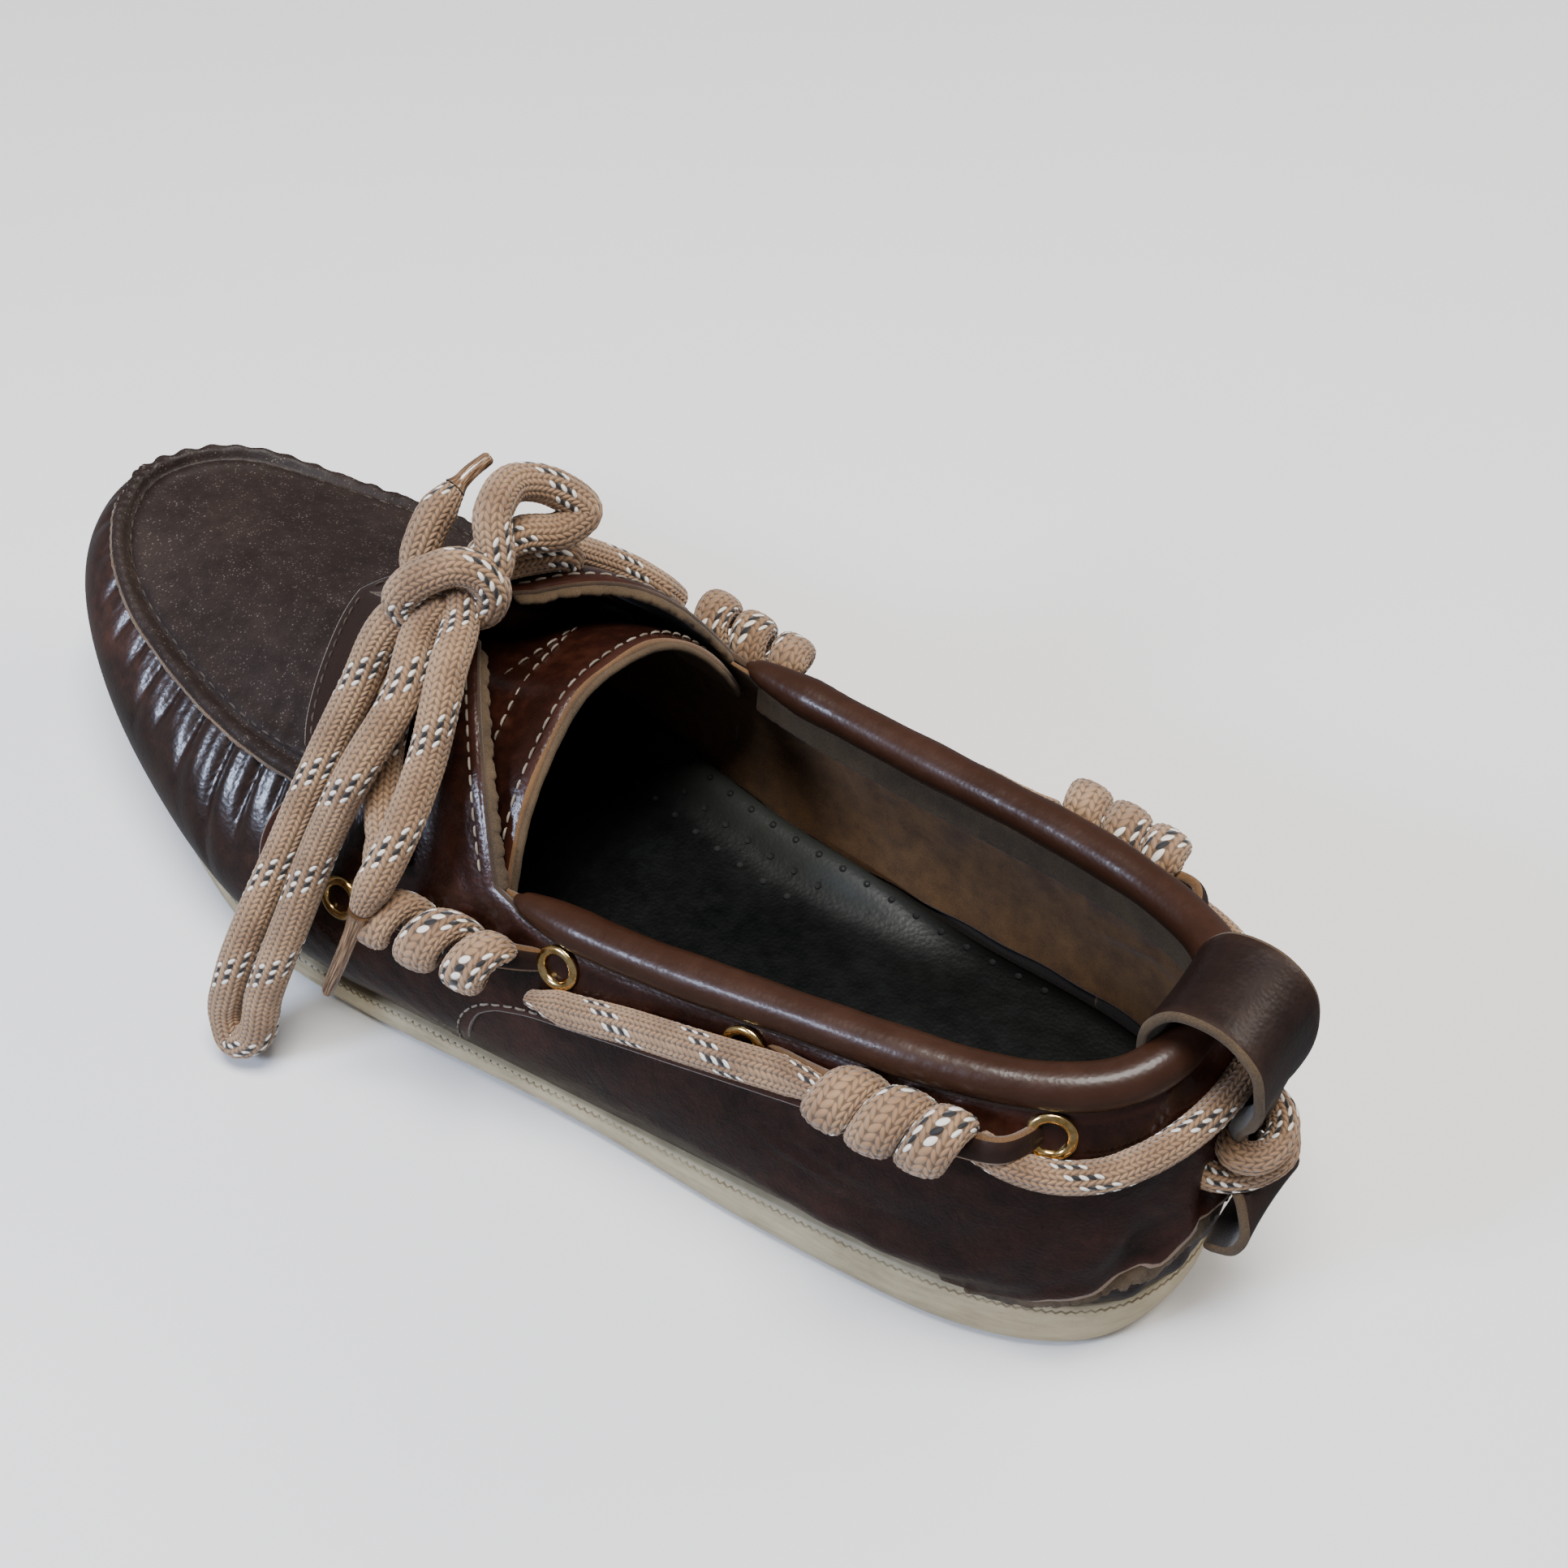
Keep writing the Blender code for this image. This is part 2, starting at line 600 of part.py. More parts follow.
def make_ring(name, centre, out):
    """Round rim of an eyelet lying on the leather."""
    bpy.ops.mesh.primitive_torus_add(major_segments=12, minor_segments=6,
                                     major_radius=EYELET_RING * MM, minor_radius=EYELET_WIRE * MM)
    item = bpy.context.active_object
    for old in list(item.users_collection):
        old.objects.unlink(item)
    PARTS.objects.link(item)
    item.name = name
    item.data.name = name
    item.data.materials.append(GOLD)
    out = np.asarray(out, float)
    axis = np.cross([0.0, 0.0, 1.0], out)
    turn = math.acos(float(np.clip(out[2], -1, 1)))
    axis /= np.linalg.norm(axis)
    item.rotation_mode = "AXIS_ANGLE"
    item.rotation_axis_angle = (turn, *axis)
    item.location = to_world(np.asarray(centre) + out * (EYELET_WIRE + GAP))
    return item


def side_name(side):
    return "outer" if side > 0 else "inner"


def over_counter(run, share):
    """Extra stand-off where the heel counter lies under the rope."""
    high = table_at(COUNTER, run, 2)
    covered = np.clip((high + 0.11 - share) / 0.05, 0, 1) * np.clip((0.50 - run) / 0.02, 0, 1)
    return (COUNTER_LEATHER + GAP) * covered


def even_stations(stations, count):
    """Stations at even distances along the leather."""
    scale = np.array([OUTER_LENGTH, WALL_HEIGHT, 1.0])
    return open_spline(np.asarray(stations, float) * scale, count) / scale


def lay(stations, side, count, clear):
    """Points along (run, wall share, extra) stations, held clear of the leather."""
    rows = even_stations(stations, count)
    run = np.clip(rows[:, 0], 0.0, 1.0)
    share = rows[:, 1]
    lift = clear + rows[:, 2] + over_counter(run, share)
    return off_skin(run, side, share, lift)


def make_eyelets():
    for side in (1, -1):
        for number, (run, share) in enumerate(SIDE_EYELETS, 1):
            point, out, forward, upward = skin_frame(np.array(run), side, np.array(share))
            make_ring(f"eyelet_{side_name(side)}_{number}", point, out)
        for number, (run, share) in enumerate(FACING_EYELETS, 1):
            point, out, forward, upward = skin_frame(np.array(run), side, np.array(1 + share))
            make_ring(f"facing_eyelet_{side_name(side)}_{number}", point, out)


def make_thong(name, side, start, finish):
    """Leather thong between an eyelet and a coil, lying on the wall."""
    rows = even_stations([start, finish], 4)
    run = rows[:, 0]
    share = rows[:, 1]
    point, out, forward, upward = skin_frame(run, side, share)
    lift = GAP + THONG_THICKNESS / 2 + 0.2 + rows[:, 2] + over_counter(run, share)
    middle = point + out * lift[:, None]
    along = np.gradient(middle, axis=0)
    along /= np.linalg.norm(along, axis=1, keepdims=True)
    across = np.cross(out, along)
    across /= np.linalg.norm(across, axis=1, keepdims=True)
    item = add_mesh(name, ribbon(middle, across, np.cross(along, across),
                                 np.full(4, THONG_WIDTH), THONG_THICKNESS), STRAP_LEATHER, False)
    set_facing(item, faces_in)
    return item


def coil_line(side, coil):
    name, run_a, share_a, run_b, share_b = coil
    lift = COIL_DIAMETER / 2 + GAP + 0.3
    return lay([(run_a, share_a, 0.0), ((run_a + run_b) / 2, (share_a + share_b) / 2, 0.0),
                (run_b, share_b, 0.0)], side, 7, lift)


def make_coils():
    taper = np.array([0.72, 0.94, 1.0, 1.0, 1.0, 0.94, 0.72])
    for side in (1, -1):
        for coil in COILS:
            add_tube(f"coil_{coil[0]}_{side_name(side)}", coil_line(side, coil),
                     COIL_DIAMETER / 2, ROPE, taper=taper, sides=3)


def make_thongs():
    reach = (EYELET_RING + EYELET_WIRE + 0.8) / (OUTER_LENGTH * 0.85)
    front, back = COILS
    first, second, third, fourth = SIDE_EYELETS
    ends = [
        ((first[0] - reach, first[1], 0.1), (front[1] + 0.004, front[2], 2.2)),
        ((front[3] - 0.009, front[4], 2.0), (second[0] + reach, second[1] - 0.01, 0.1)),
        ((third[0] - reach, third[1], 0.1), (back[1] + 0.010, back[2], 1.6)),
        ((back[3] - 0.010, back[4], 1.8), (fourth[0] + reach, fourth[1], 0.1)),
    ]
    for side in (1, -1):
        for number, (start, finish) in enumerate(ends, 1):
            make_thong(f"thong_{side_name(side)}_{number}", side, start, finish)


def flat_rope(name, points, faces, width, thickness):
    """Flat braid with rounded edges, narrowing where it tucks in at both ends."""
    points = np.asarray(points, float)
    along = np.gradient(points, axis=0)
    along /= np.linalg.norm(along, axis=1, keepdims=True)
    across = np.cross(faces, along)
    across /= np.linalg.norm(across, axis=1, keepdims=True)
    rise = np.cross(along, across)
    squeeze = np.ones(len(points))
    squeeze[[0, -1]] = 0.6
    ring = []
    for k in range(8):
        angle = math.radians(22.5 + 45 * k)
        side = math.copysign(abs(math.cos(angle))**0.8, math.cos(angle)) * width / 2
        ring.append(points + across * side * squeeze[:, None]
                    + rise * math.sin(angle) * thickness / 2)
    skin_grid = np.stack(ring + ring[:1], 1)
    caps = []
    for k in (0, -1):
        middle = np.repeat(points[k][None], 9, 0)
        caps.append(np.stack([skin_grid[k], middle], 0))
    item = add_mesh(name, [skin_grid] + caps, ROPE)
    set_facing(item, faces_in)
    return item


# Flat rope between the coils, each side. Columns: run, wall share, extra stand-off.
SIDE_ROPE = [
    (0.4400, 0.675, 0.8),
    (0.4150, 0.693, 0.2),
    (0.3700, 0.755, 0.6),
    (0.3200, 0.790, 2.3),
    (0.2850, 0.800, 2.6),
    (0.2640, 0.815, 2.4),
]
# Rope round the heel from the back coil to the strap loop. Same columns.
HEEL_ROPE = [
    (0.150, 0.786, 0.8),
    (0.130, 0.785, 0.6),
    (0.095, 0.790, 0.4),
    (0.050, 0.830, 0.6),
    (0.000, 0.850, 0.8),
]
# Rope wrapped round the pinched strap: from each side of the heel round the back.
# Columns: distance from the heel, half spread, height.
PINCH_WRAP = [(-4.8, 9.0, 53.4), (-8.8, 5.4, 53.0), (-10.5, 0.0, 52.8)]
PINCH_ENDS = [(0.072, 0.715, 0.5), (0.042, 0.695, 0.9)]


def make_side_ropes():
    width, thickness = FLAT_ROPE
    for side in (1, -1):
        rows = even_stations(SIDE_ROPE, 12)
        point, out, forward, upward = skin_frame(rows[:, 0], side, rows[:, 1])
        middle = lay(SIDE_ROPE, side, 12, thickness / 2 + GAP + 0.35)
        flat_rope(f"side_rope_{side_name(side)}", middle, out, width, thickness)


def make_heel_rope():
    clear = ROPE_DIAMETER / 2 + GAP + 0.25
    outer = lay(HEEL_ROPE, 1, 13, clear)
    inner = lay(HEEL_ROPE, -1, 13, clear)
    outer[-1] = (outer[-1] + inner[-1]) / 2
    route = np.concatenate([outer, inner[::-1][1:]])
    add_tube("heel_rope", route, ROPE_DIAMETER / 2, ROPE)


def make_pinch_wrap():
    clear = ROPE_DIAMETER / 2 + GAP + 0.3
    sides = []
    for side in (1, -1):
        ends = np.array(PINCH_ENDS)
        held = off_skin(ends[:, 0], side, ends[:, 1], clear + ends[:, 2] + COUNTER_LEATHER + GAP)
        free = np.array([(x, STRAP_MIDDLE + side * spread, z) for x, spread, z in PINCH_WRAP])
        sides.append(np.concatenate([held, free]))
    route = np.concatenate([sides[0], sides[1][::-1][1:]])
    add_tube("strap_wrap", open_spline(route, 15), ROPE_DIAMETER / 2, ROPE)


# ---------------------------------------------------------------- lace over the instep

# Strands from the front coils across the slit to the opposite facing eyelet, and from the back
# facing eyelets to the bow. On the leather: run, share of the skin, extra stand-off. In the air:
# distance from the heel, outward, height.
STRAND_ON_LEATHER = [
    (0.550, 0.860, 0.6),
    (0.553, 0.960, 0.8),
    (0.554, 1.080, 0.8),
    (0.552, 1.330, 0.6),
    (0.541, 1.590, 1.4),
]
OUTER_STRAND = [(172.2, 9.0, 81.4), (173.6, -1.0, 86.2), (176.0, -9.5, 83.4), (177.6, -15.8, 78.8)]
INNER_STRAND = [(171.6, -11.0, 85.4), (174.0, 0.0, 86.2), (176.6, 9.5, 80.4), (177.8, 17.6, 74.2)]
OUTER_RISER = [(163.6, 18.8, 79.2), (166.8, 14.4, 81.2), (170.4, 8.6, 81.8)]
INNER_RISER = [(162.8, -16.8, 84.4), (167.0, -10.6, 86.4), (171.4, -3.2, 86.4)]


def tube_as_mesh(name, points, radius):
    """A tube turned into a mesh, so that crossings can be joined."""
    made = add_tube(name, points, radius, ROPE)
    graph = bpy.context.evaluated_depsgraph_get()
    mesh = bpy.data.meshes.new_from_object(made.evaluated_get(graph))
    mesh.name = name
    bpy.data.objects.remove(made, do_unlink=True)
    build = bmesh.new()
    build.from_mesh(mesh)
    bmesh.ops.remove_doubles(build, verts=build.verts, dist=0.00001)
    bmesh.ops.recalc_face_normals(build, faces=build.faces)
    build.to_mesh(mesh)
    build.free()
    item = bpy.data.objects.new(name, mesh)
    PARTS.objects.link(item)
    return item


def make_lace_bars():
    radius = LACE_DIAMETER / 2 - 0.2
    clear = radius + GAP + 0.2
    routes = {}
    for side, free in ((1, OUTER_STRAND), (-1, INNER_STRAND)):
        held = lay(STRAND_ON_LEATHER, side, 11, clear)
        routes[side] = open_spline(np.concatenate([held, np.array(free)]), 20)
    bars = tube_as_mesh("lace_bars", routes[1], radius)
    joined = bpy.data.collections.new("loafer_cutters")
    bpy.context.scene.collection.children.link(joined)
    for name, route, count in (("inner_strand", routes[-1], 18), ("outer_riser", OUTER_RISER, 6),
                               ("inner_riser", INNER_RISER, 6)):
        other = tube_as_mesh(name, open_spline(route, count), radius)
        PARTS.objects.unlink(other)
        joined.objects.link(other)
        other.hide_render = True
        other.display_type = "WIRE"
        union = bars.modifiers.new(name, "BOOLEAN")
        union.operation = "UNION"
        union.solver = "EXACT"
        union.object = other


# Bow. Columns: distance from the heel, outward, height.
KNOT_CENTRE = (169.5, 8.6, 91.2)
KNOT_SPREAD = 6.4
KNOT_DEPTH = 5.2
LOOP_OUTER = [
    (176.8, 17.8, 85.4),
    (178.8, 27.0, 73.6),
    (180.4, 37.2, 61.0),
    (181.2, 50.8, 45.0),
    (182.0, 60.5, 33.4),
    (183.6, 67.6, 20.4),
    (184.4, 70.2, 10.6),
    (181.6, 71.6, 5.8),
    (177.8, 70.4, 8.6),
    (175.6, 66.4, 21.0),
    (172.4, 57.6, 39.4),
    (170.6, 48.0, 55.4),
    (167.0, 40.0, 70.2),
    (165.8, 28.4, 80.0),
    (169.8, 15.6, 87.4),
]
END_OUTER = [
    (164.2, 12.2, 88.2),
    (160.0, 21.0, 85.0),
    (156.2, 33.0, 72.4),
    (153.6, 46.4, 62.4),
    (154.6, 56.8, 51.8),
]
TIP_OUTER = [(155.0, 57.5, 50.2), (163.4, 60.6, 25.0)]
LOOP_INNER = [
    (163.3, 3.9, 95.3),
    (166.6, -2.0, 104.8),
    (168.2, -8.2, 105.6),
    (163.6, -16.8, 101.2),
    (159.6, -19.2, 96.2),
    (160.8, -13.8, 94.6),
    (165.4, -7.0, 95.6),
    (167.2, -1.6, 95.2),
]
END_FRONT = [(175.2, 10.6, 94.8), (176.4, 4.4, 102.4), (176.2, -0.9, 106.0)]
TIP_FRONT = [(176.9, -3.4, 106.4), (182.8, -14.6, 99.6)]


def make_bow():
    radius = LACE_DIAMETER / 2
    right = np.array([-0.83, -0.557, 0.0])
    turn = np.linspace(math.radians(-150), math.radians(150), 13)
    knot = (np.array(KNOT_CENTRE) + np.outer(np.sin(turn), right) * KNOT_SPREAD
            - np.outer(np.cos(turn), np.array([0.46, -0.70, -0.55])) * KNOT_DEPTH)
    add_tube("lace_knot", knot, radius, ROPE)
    add_tube("bow_loop_outer", open_spline(LOOP_OUTER, 26), radius, ROPE)
    add_tube("bow_loop_inner", open_spline(LOOP_INNER, 14), radius - 0.2, ROPE)
    add_tube("lace_end_outer", open_spline(END_OUTER, 8), radius, ROPE)
    add_tube("lace_end_front", open_spline(END_FRONT, 4), radius - 0.2, ROPE)
    add_tube("lace_tip_outer", open_spline(TIP_OUTER, 2), 1.8, CLEAR_TIP, taper=np.array([1.25, 0.85]))
    add_tube("lace_tip_front", open_spline(TIP_FRONT, 2), 1.8, CLEAR_TIP, taper=np.array([1.25, 0.85]))


make_outsole()
make_insole()
make_upper()
make_tongue()
make_roll()
make_counter()
make_strap()
make_eyelets()
make_coils()
make_thongs()
make_side_ropes()
make_heel_rope()
make_pinch_wrap()
make_lace_bars()
make_bow()
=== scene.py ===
# Left lace-up loafer of the moccasin family, empty, on a plain pale floor.
# Shoe millimetres: X from the heel to the toe, +Y the outer side, Z up from the ground.
import math

import bmesh
import bpy
import numpy as np
from mathutils import Matrix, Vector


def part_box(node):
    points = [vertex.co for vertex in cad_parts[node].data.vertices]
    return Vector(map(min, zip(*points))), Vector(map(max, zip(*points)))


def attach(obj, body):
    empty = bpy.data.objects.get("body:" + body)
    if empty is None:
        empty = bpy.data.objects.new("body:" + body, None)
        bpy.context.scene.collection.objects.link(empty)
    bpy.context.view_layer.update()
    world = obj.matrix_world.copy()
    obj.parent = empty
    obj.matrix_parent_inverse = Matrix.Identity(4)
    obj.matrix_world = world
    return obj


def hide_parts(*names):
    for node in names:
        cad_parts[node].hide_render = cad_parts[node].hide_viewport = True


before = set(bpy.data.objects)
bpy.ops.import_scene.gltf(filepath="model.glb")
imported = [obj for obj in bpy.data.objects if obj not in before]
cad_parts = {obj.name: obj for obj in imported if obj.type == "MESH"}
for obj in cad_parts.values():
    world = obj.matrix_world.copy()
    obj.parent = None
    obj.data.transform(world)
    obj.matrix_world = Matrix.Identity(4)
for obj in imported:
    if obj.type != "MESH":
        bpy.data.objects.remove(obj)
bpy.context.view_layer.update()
print("frame loaded")

soleLow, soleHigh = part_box("outsole")
lipReach = 1.3        # the sole's lip stands this far outside the plan of the upper
shoeZero = np.array([soleLow[0] * 1000 + lipReach, -1.15, 0.0])


def toFrame(points):  # shoe millimetres to metres in the frame
    return (np.asarray(points, float) + shoeZero) * 0.001


# the last: plan, side wall and instep, all in millimetres

# plan of the sole: distance from the heel, outer half width, inner half width
planTable = [
    (4.0, 18.0, 15.5),
    (14.0, 28.5, 26.0),
    (32.0, 35.5, 32.5),
    (60.0, 38.5, 35.0),
    (96.0, 40.5, 36.5),
    (132.0, 43.5, 40.0),
    (167.0, 47.0, 46.5),
    (197.0, 47.0, 48.5),
    (223.0, 39.5, 47.0),
    (247.0, 29.5, 40.5),
    (267.0, 17.5, 31.5),
    (279.5, 5.0, 19.5),
]
heelPoint = (0.0, 1.0)
toePoint = (284.0, -7.0)
# side wall: run (0 heel, 1 toe), foot height, belly out, belly height, shoulder out,
# shoulder height, rim out, rim height
wallTable = [
    (0.00, 15.6, 4.0, 30.0, 2.0, 52.0, -10.0, 76.0),
    (0.12, 16.4, 5.0, 30.0, 2.0, 50.0, -9.0, 71.5),
    (0.25, 14.2, 6.0, 28.0, 3.0, 47.0, -6.0, 67.0),
    (0.40, 11.5, 6.0, 27.0, 4.0, 45.0, -4.0, 60.5),
    (0.52, 11.0, 6.5, 26.0, 2.0, 46.0, -7.0, 57.5),
    (0.64, 10.0, 9.0, 25.0, 3.0, 40.0, -10.0, 52.0),
    (0.78, 10.0, 11.0, 24.0, 5.5, 36.0, -6.0, 45.0),
    (0.90, 11.5, 10.0, 25.0, 5.0, 35.0, -3.0, 43.0),
    (1.00, 12.5, 8.0, 26.0, 4.0, 35.0, -6.0, 42.0),
]
# run and extra height of the inner rim, then distance from the heel and rise of the toe
innerLift = [(0.0, 0.0), (0.3, 1.0), (0.5, 4.5), (0.62, 4.0), (0.8, 0.5), (1.0, 0.0)]
toeSpring = [(0.0, 0.0), (215.0, 0.0), (250.0, 4.2), (284.0, 12.0)]
cornerRun = 0.48      # where collar and facing meet
slitRun = 0.66        # front end of the slit between the facings
# ridge of the instep: run, forward sweep, height, half slit, extra height of the inner facing
ridgeTable = [
    (0.48, 30.0, 77.0, 4.5, 6.0),
    (0.54, 23.0, 73.5, 3.2, 4.0),
    (0.60, 16.0, 69.0, 1.6, 2.0),
    (0.66, 10.0, 64.0, 0.0, 0.0),
    (0.78, 6.0, 57.0, 0.0, 0.0),
    (0.90, 4.0, 53.5, 0.0, 0.0),
    (1.00, 0.0, 54.0, 0.0, 0.0),
]
innerSwell = 5.0      # how far the inner facing stands up near its back end
tongueRidge = [
    (0.475, 16.0, 71.0, 0.0, 0.0),
    (0.53, 17.0, 69.5, 0.0, 0.0),
    (0.60, 14.0, 65.0, 0.0, 0.0),
    (0.66, 10.0, 60.0, 0.0, 0.0),
]


def unit(vectors):
    return vectors / np.maximum(np.linalg.norm(vectors, axis=-1, keepdims=True), 1e-9)


def travel(path):  # distance gone along a path at each of its points
    return np.concatenate([[0], np.cumsum(np.linalg.norm(np.diff(path, axis=0), axis=1))])


def readOff(at, known, values):  # every column of values, interpolated
    return np.stack([np.interp(at, known, values[:, k]) for k in range(values.shape[1])], -1)


def hermite(t, step, low, high, lowGrade, highGrade):  # cubic between two values with given slopes
    return ((2 * t**3 - 3 * t**2 + 1) * low + (t**3 - 2 * t**2 + t) * step * lowGrade
            + (3 * t**2 - 2 * t**3) * high + (t**3 - t**2) * step * highGrade)


def tableAt(rows, at, column=1):  # smooth value of one column, level at both ends
    rows = np.asarray(rows, float)
    xs = rows[:, 0]
    ys = rows[:, column]
    step = np.diff(xs)
    slope = np.diff(ys) / step
    grade = np.zeros(len(xs))
    grade[1:-1] = (slope[:-1] * step[1:] + slope[1:] * step[:-1]) / (step[1:] + step[:-1])
    at = np.clip(np.asarray(at, float), xs[0], xs[-1])
    i = np.clip(np.searchsorted(xs, at) - 1, 0, len(xs) - 2)
    return hermite((at - xs[i]) / step[i], step[i], ys[i], ys[i + 1], grade[i], grade[i + 1])


def smoothStep(low, high, value):
    t = np.clip((np.asarray(value, float) - low) / (high - low), 0, 1)
    return t * t * (3 - 2 * t)


def closedSpline(points, samples=40):  # periodic cubic through the points
    pts = np.asarray(points, float)
    count = len(pts)
    step = np.sqrt(np.linalg.norm(np.roll(pts, -1, 0) - pts, axis=1))
    system = np.zeros((count, count))
    right = np.zeros_like(pts)
    for i in range(count):
        after = (i + 1) % count
        system[i, i - 1] += step[i - 1]
        system[i, i] += 2 * (step[i - 1] + step[i])
        system[i, after] += step[i]
        right[i] = 6 * ((pts[after] - pts[i]) / step[i] - (pts[i] - pts[i - 1]) / step[i - 1])
    bend = np.linalg.solve(system, right)
    pieces = []
    for i in range(count):
        after = (i + 1) % count
        k = step[i]
        t = np.linspace(0, 1, samples, endpoint=False)[:, None] * k
        pieces.append(bend[i] * (k - t)**3 / (6 * k) + bend[after] * t**3 / (6 * k)
                      + (pts[i] / k - bend[i] * k / 6) * (k - t)
                      + (pts[after] / k - bend[after] * k / 6) * t)
    return np.vstack(pieces + [pieces[0][:1]])


def openSpline(points, count=None, spacing=None):  # even points on a smooth open curve
    pts = np.asarray(points, float)
    chord = travel(pts)
    grade = np.gradient(pts, chord, axis=0)
    at = np.linspace(0, chord[-1], 40 * len(pts))
    i = np.clip(np.searchsorted(chord, at) - 1, 0, len(pts) - 2)
    step = (chord[i + 1] - chord[i])[:, None]
    fine = hermite((at - chord[i])[:, None] / step, step, pts[i], pts[i + 1], grade[i], grade[i + 1])
    length = travel(fine)
    if count is None:
        count = max(4, int(round(length[-1] / spacing)) + 1)
    return readOff(np.linspace(0, length[-1], count), length, fine)


planCurve = closedSpline([heelPoint] + [(x, outer) for x, outer, inner in planTable]
                         + [toePoint] + [(x, -inner) for x, outer, inner in planTable[::-1]])
planLength = travel(planCurve)
outerLength = planLength[int(np.argmax(planCurve[:, 0]))]
wholeLength = planLength[-1]


def planAt(run, side):  # point of the plan and its outward direction, side 1 outer and -1 inner
    run = np.asarray(run, float)
    side = np.broadcast_to(np.asarray(side, float), run.shape)
    at = np.where(side > 0, run * outerLength, wholeLength - run * (wholeLength - outerLength))

    def place(where):
        return readOff(where % wholeLength, planLength, planCurve)

    along = unit(place(at + 2.0) - place(at - 2.0))
    return place(at), np.stack([-along[..., 1], along[..., 0]], -1)


def rails(run, side):  # foot, belly, shoulder and rim of the side wall
    plan, out = planAt(run, side)
    lift = tableAt(innerLift, run) * (np.asarray(side) < 0)
    found = []
    for offset, height, raised in ((None, 1, 0.0), (2, 3, 0.0), (4, 5, 0.6), (6, 7, 1.0)):
        away = np.zeros(np.shape(run)) if offset is None else tableAt(wallTable, run, offset)
        at = plan + out * away[..., None]
        z = tableAt(wallTable, run, height) + tableAt(toeSpring, at[..., 0]) + lift * raised
        found.append(np.concatenate([at, z[..., None]], -1))
    return found


def wallFace(run, side, share):  # cubic arc from the sole (0) to the rim (1)
    foot, belly, shoulder, rim = rails(run, side)
    v = np.asarray(share, float)[..., None]
    return foot * (1 - v)**3 + 3 * belly * v * (1 - v)**2 + 3 * shoulder * v * v * (1 - v) + rim * v**3


# Cubic arc from the rim (0) to the ridge (1). It leaves the rim along the wall near the collar and
# level further forward.
def instepFace(run, side, share, ridge=ridgeTable, slit=True):
    run = np.asarray(run, float)
    side = np.broadcast_to(np.asarray(side, float), run.shape)
    shoulder, rim = rails(run, side)[2:]
    middle = (rim + rails(run, -side)[3]) / 2
    middle[..., 0] += tableAt(ridge, run, 1)
    split = (run < slitRun) & slit
    middle[..., 1] += tableAt(ridge, run, 3) * side * split
    middle[..., 2] = tableAt(ridge, run, 2) + tableAt(ridge, run, 4) * (side < 0) * split
    span = (middle - rim) * [0, 1, 1]
    width = np.maximum(np.linalg.norm(span, axis=-1, keepdims=True), 1e-6)
    smooth = smoothStep(0.70, 0.63, run)[..., None]
    start = unit(unit(rim - shoulder) * smooth + (span / width + [0, 0, 0.12]) * (1 - smooth))
    finish = unit(np.stack([0 * run, side, -0.15 * smooth[..., 0]], -1))
    u = np.asarray(share, float)[..., None]
    face = (rim * (1 - u)**3 + 3 * (rim + start * width * 0.36) * u * (1 - u)**2
            + 3 * (middle + finish * width * 0.36) * u * u * (1 - u) + middle * u**3)
    face[..., 0] = (rim + (middle - rim) * u * (1.25 - 0.25 * u))[..., 0]
    swell = np.sin(math.pi * np.clip(u[..., 0] / 0.9, 0, 1)) * smoothStep(0.60, 0.48, run)
    face[..., 2] += innerSwell * swell * (side < 0) * split
    return face


def skinAt(run, side, share, slit=True):  # whole upper: share 0 to 1 on the wall, 1 to 2 over the foot
    run = np.asarray(run, float)
    share = np.asarray(share, float)
    low = wallFace(run, side, np.clip(share, 0, 1))
    high = instepFace(run, side, np.clip(share - 1, 0, 1), slit=slit)
    return np.where((share > 1)[..., None], high, low)


def skinFrame(run, side, share):  # point and its outward direction
    run = np.asarray(run, float)
    share = np.asarray(share, float)
    forward = unit(skinAt(run + 0.006, side, share) - skinAt(run - 0.006, side, share))
    upward = unit(skinAt(run, side, share + 0.012) - skinAt(run, side, share - 0.012))
    return skinAt(run, side, share), unit(np.cross(forward, upward) * -side)


def offSkin(run, side, share, distance):
    point, out = skinFrame(run, side, share)
    return point + out * np.asarray(distance, float)[..., None]


def rollRadius(run):  # collar roll, thinning where it runs into the facings
    fade = np.clip((0.462 - np.asarray(run, float)) / 0.045, 0, 1)
    return 1.3 + 2.9 * np.sqrt(fade)


def rimShare(run, side):  # share of the wall where the quarters stop, just under the roll
    shoulder, rim = rails(run, side)[2:]
    drop = (rollRadius(run) + 0.5) * np.clip((cornerRun - np.asarray(run)) / (cornerRun - 0.462), 0, 1)
    return 1 - drop / (3 * np.linalg.norm(rim - shoulder, axis=-1))


skinScale = np.array([outerLength, 70.0, 1.0])   # millimetres for a whole run and a whole wall share


def laidOn(stations, side, spacing, clear):  # (run, share, extra) stations, held clear of the leather
    rows = openSpline(np.asarray(stations, float) * skinScale, spacing=spacing) / skinScale
    run = np.clip(rows[:, 0], 0.0, 1.0)
    under = np.clip((tableAt(counterTop, run) + 0.11 - rows[:, 1]) / 0.05, 0, 1)
    under = under * np.clip((0.50 - run) / 0.02, 0, 1)
    point, out = skinFrame(run, side, rows[:, 1])
    return point + out * (clear + rows[:, 2] + 2.05 * under)[:, None], out


# upper edge of the solid heel counter: run, share of the wall
counterTop = [
    (0.00, 0.68),
    (0.12, 0.71),
    (0.25, 0.73),
    (0.34, 0.66),
    (0.42, 0.56),
    (0.46, 0.46),
    (0.475, 0.38),
    (0.483, 0.30),
]
# making meshes


def gridQuads(rows, columns, start=0):
    index = start + np.arange(rows * columns).reshape(rows, columns)
    return np.stack([index[:-1, :-1], index[1:, :-1], index[1:, 1:], index[:-1, 1:]], -1).reshape(-1, 4)


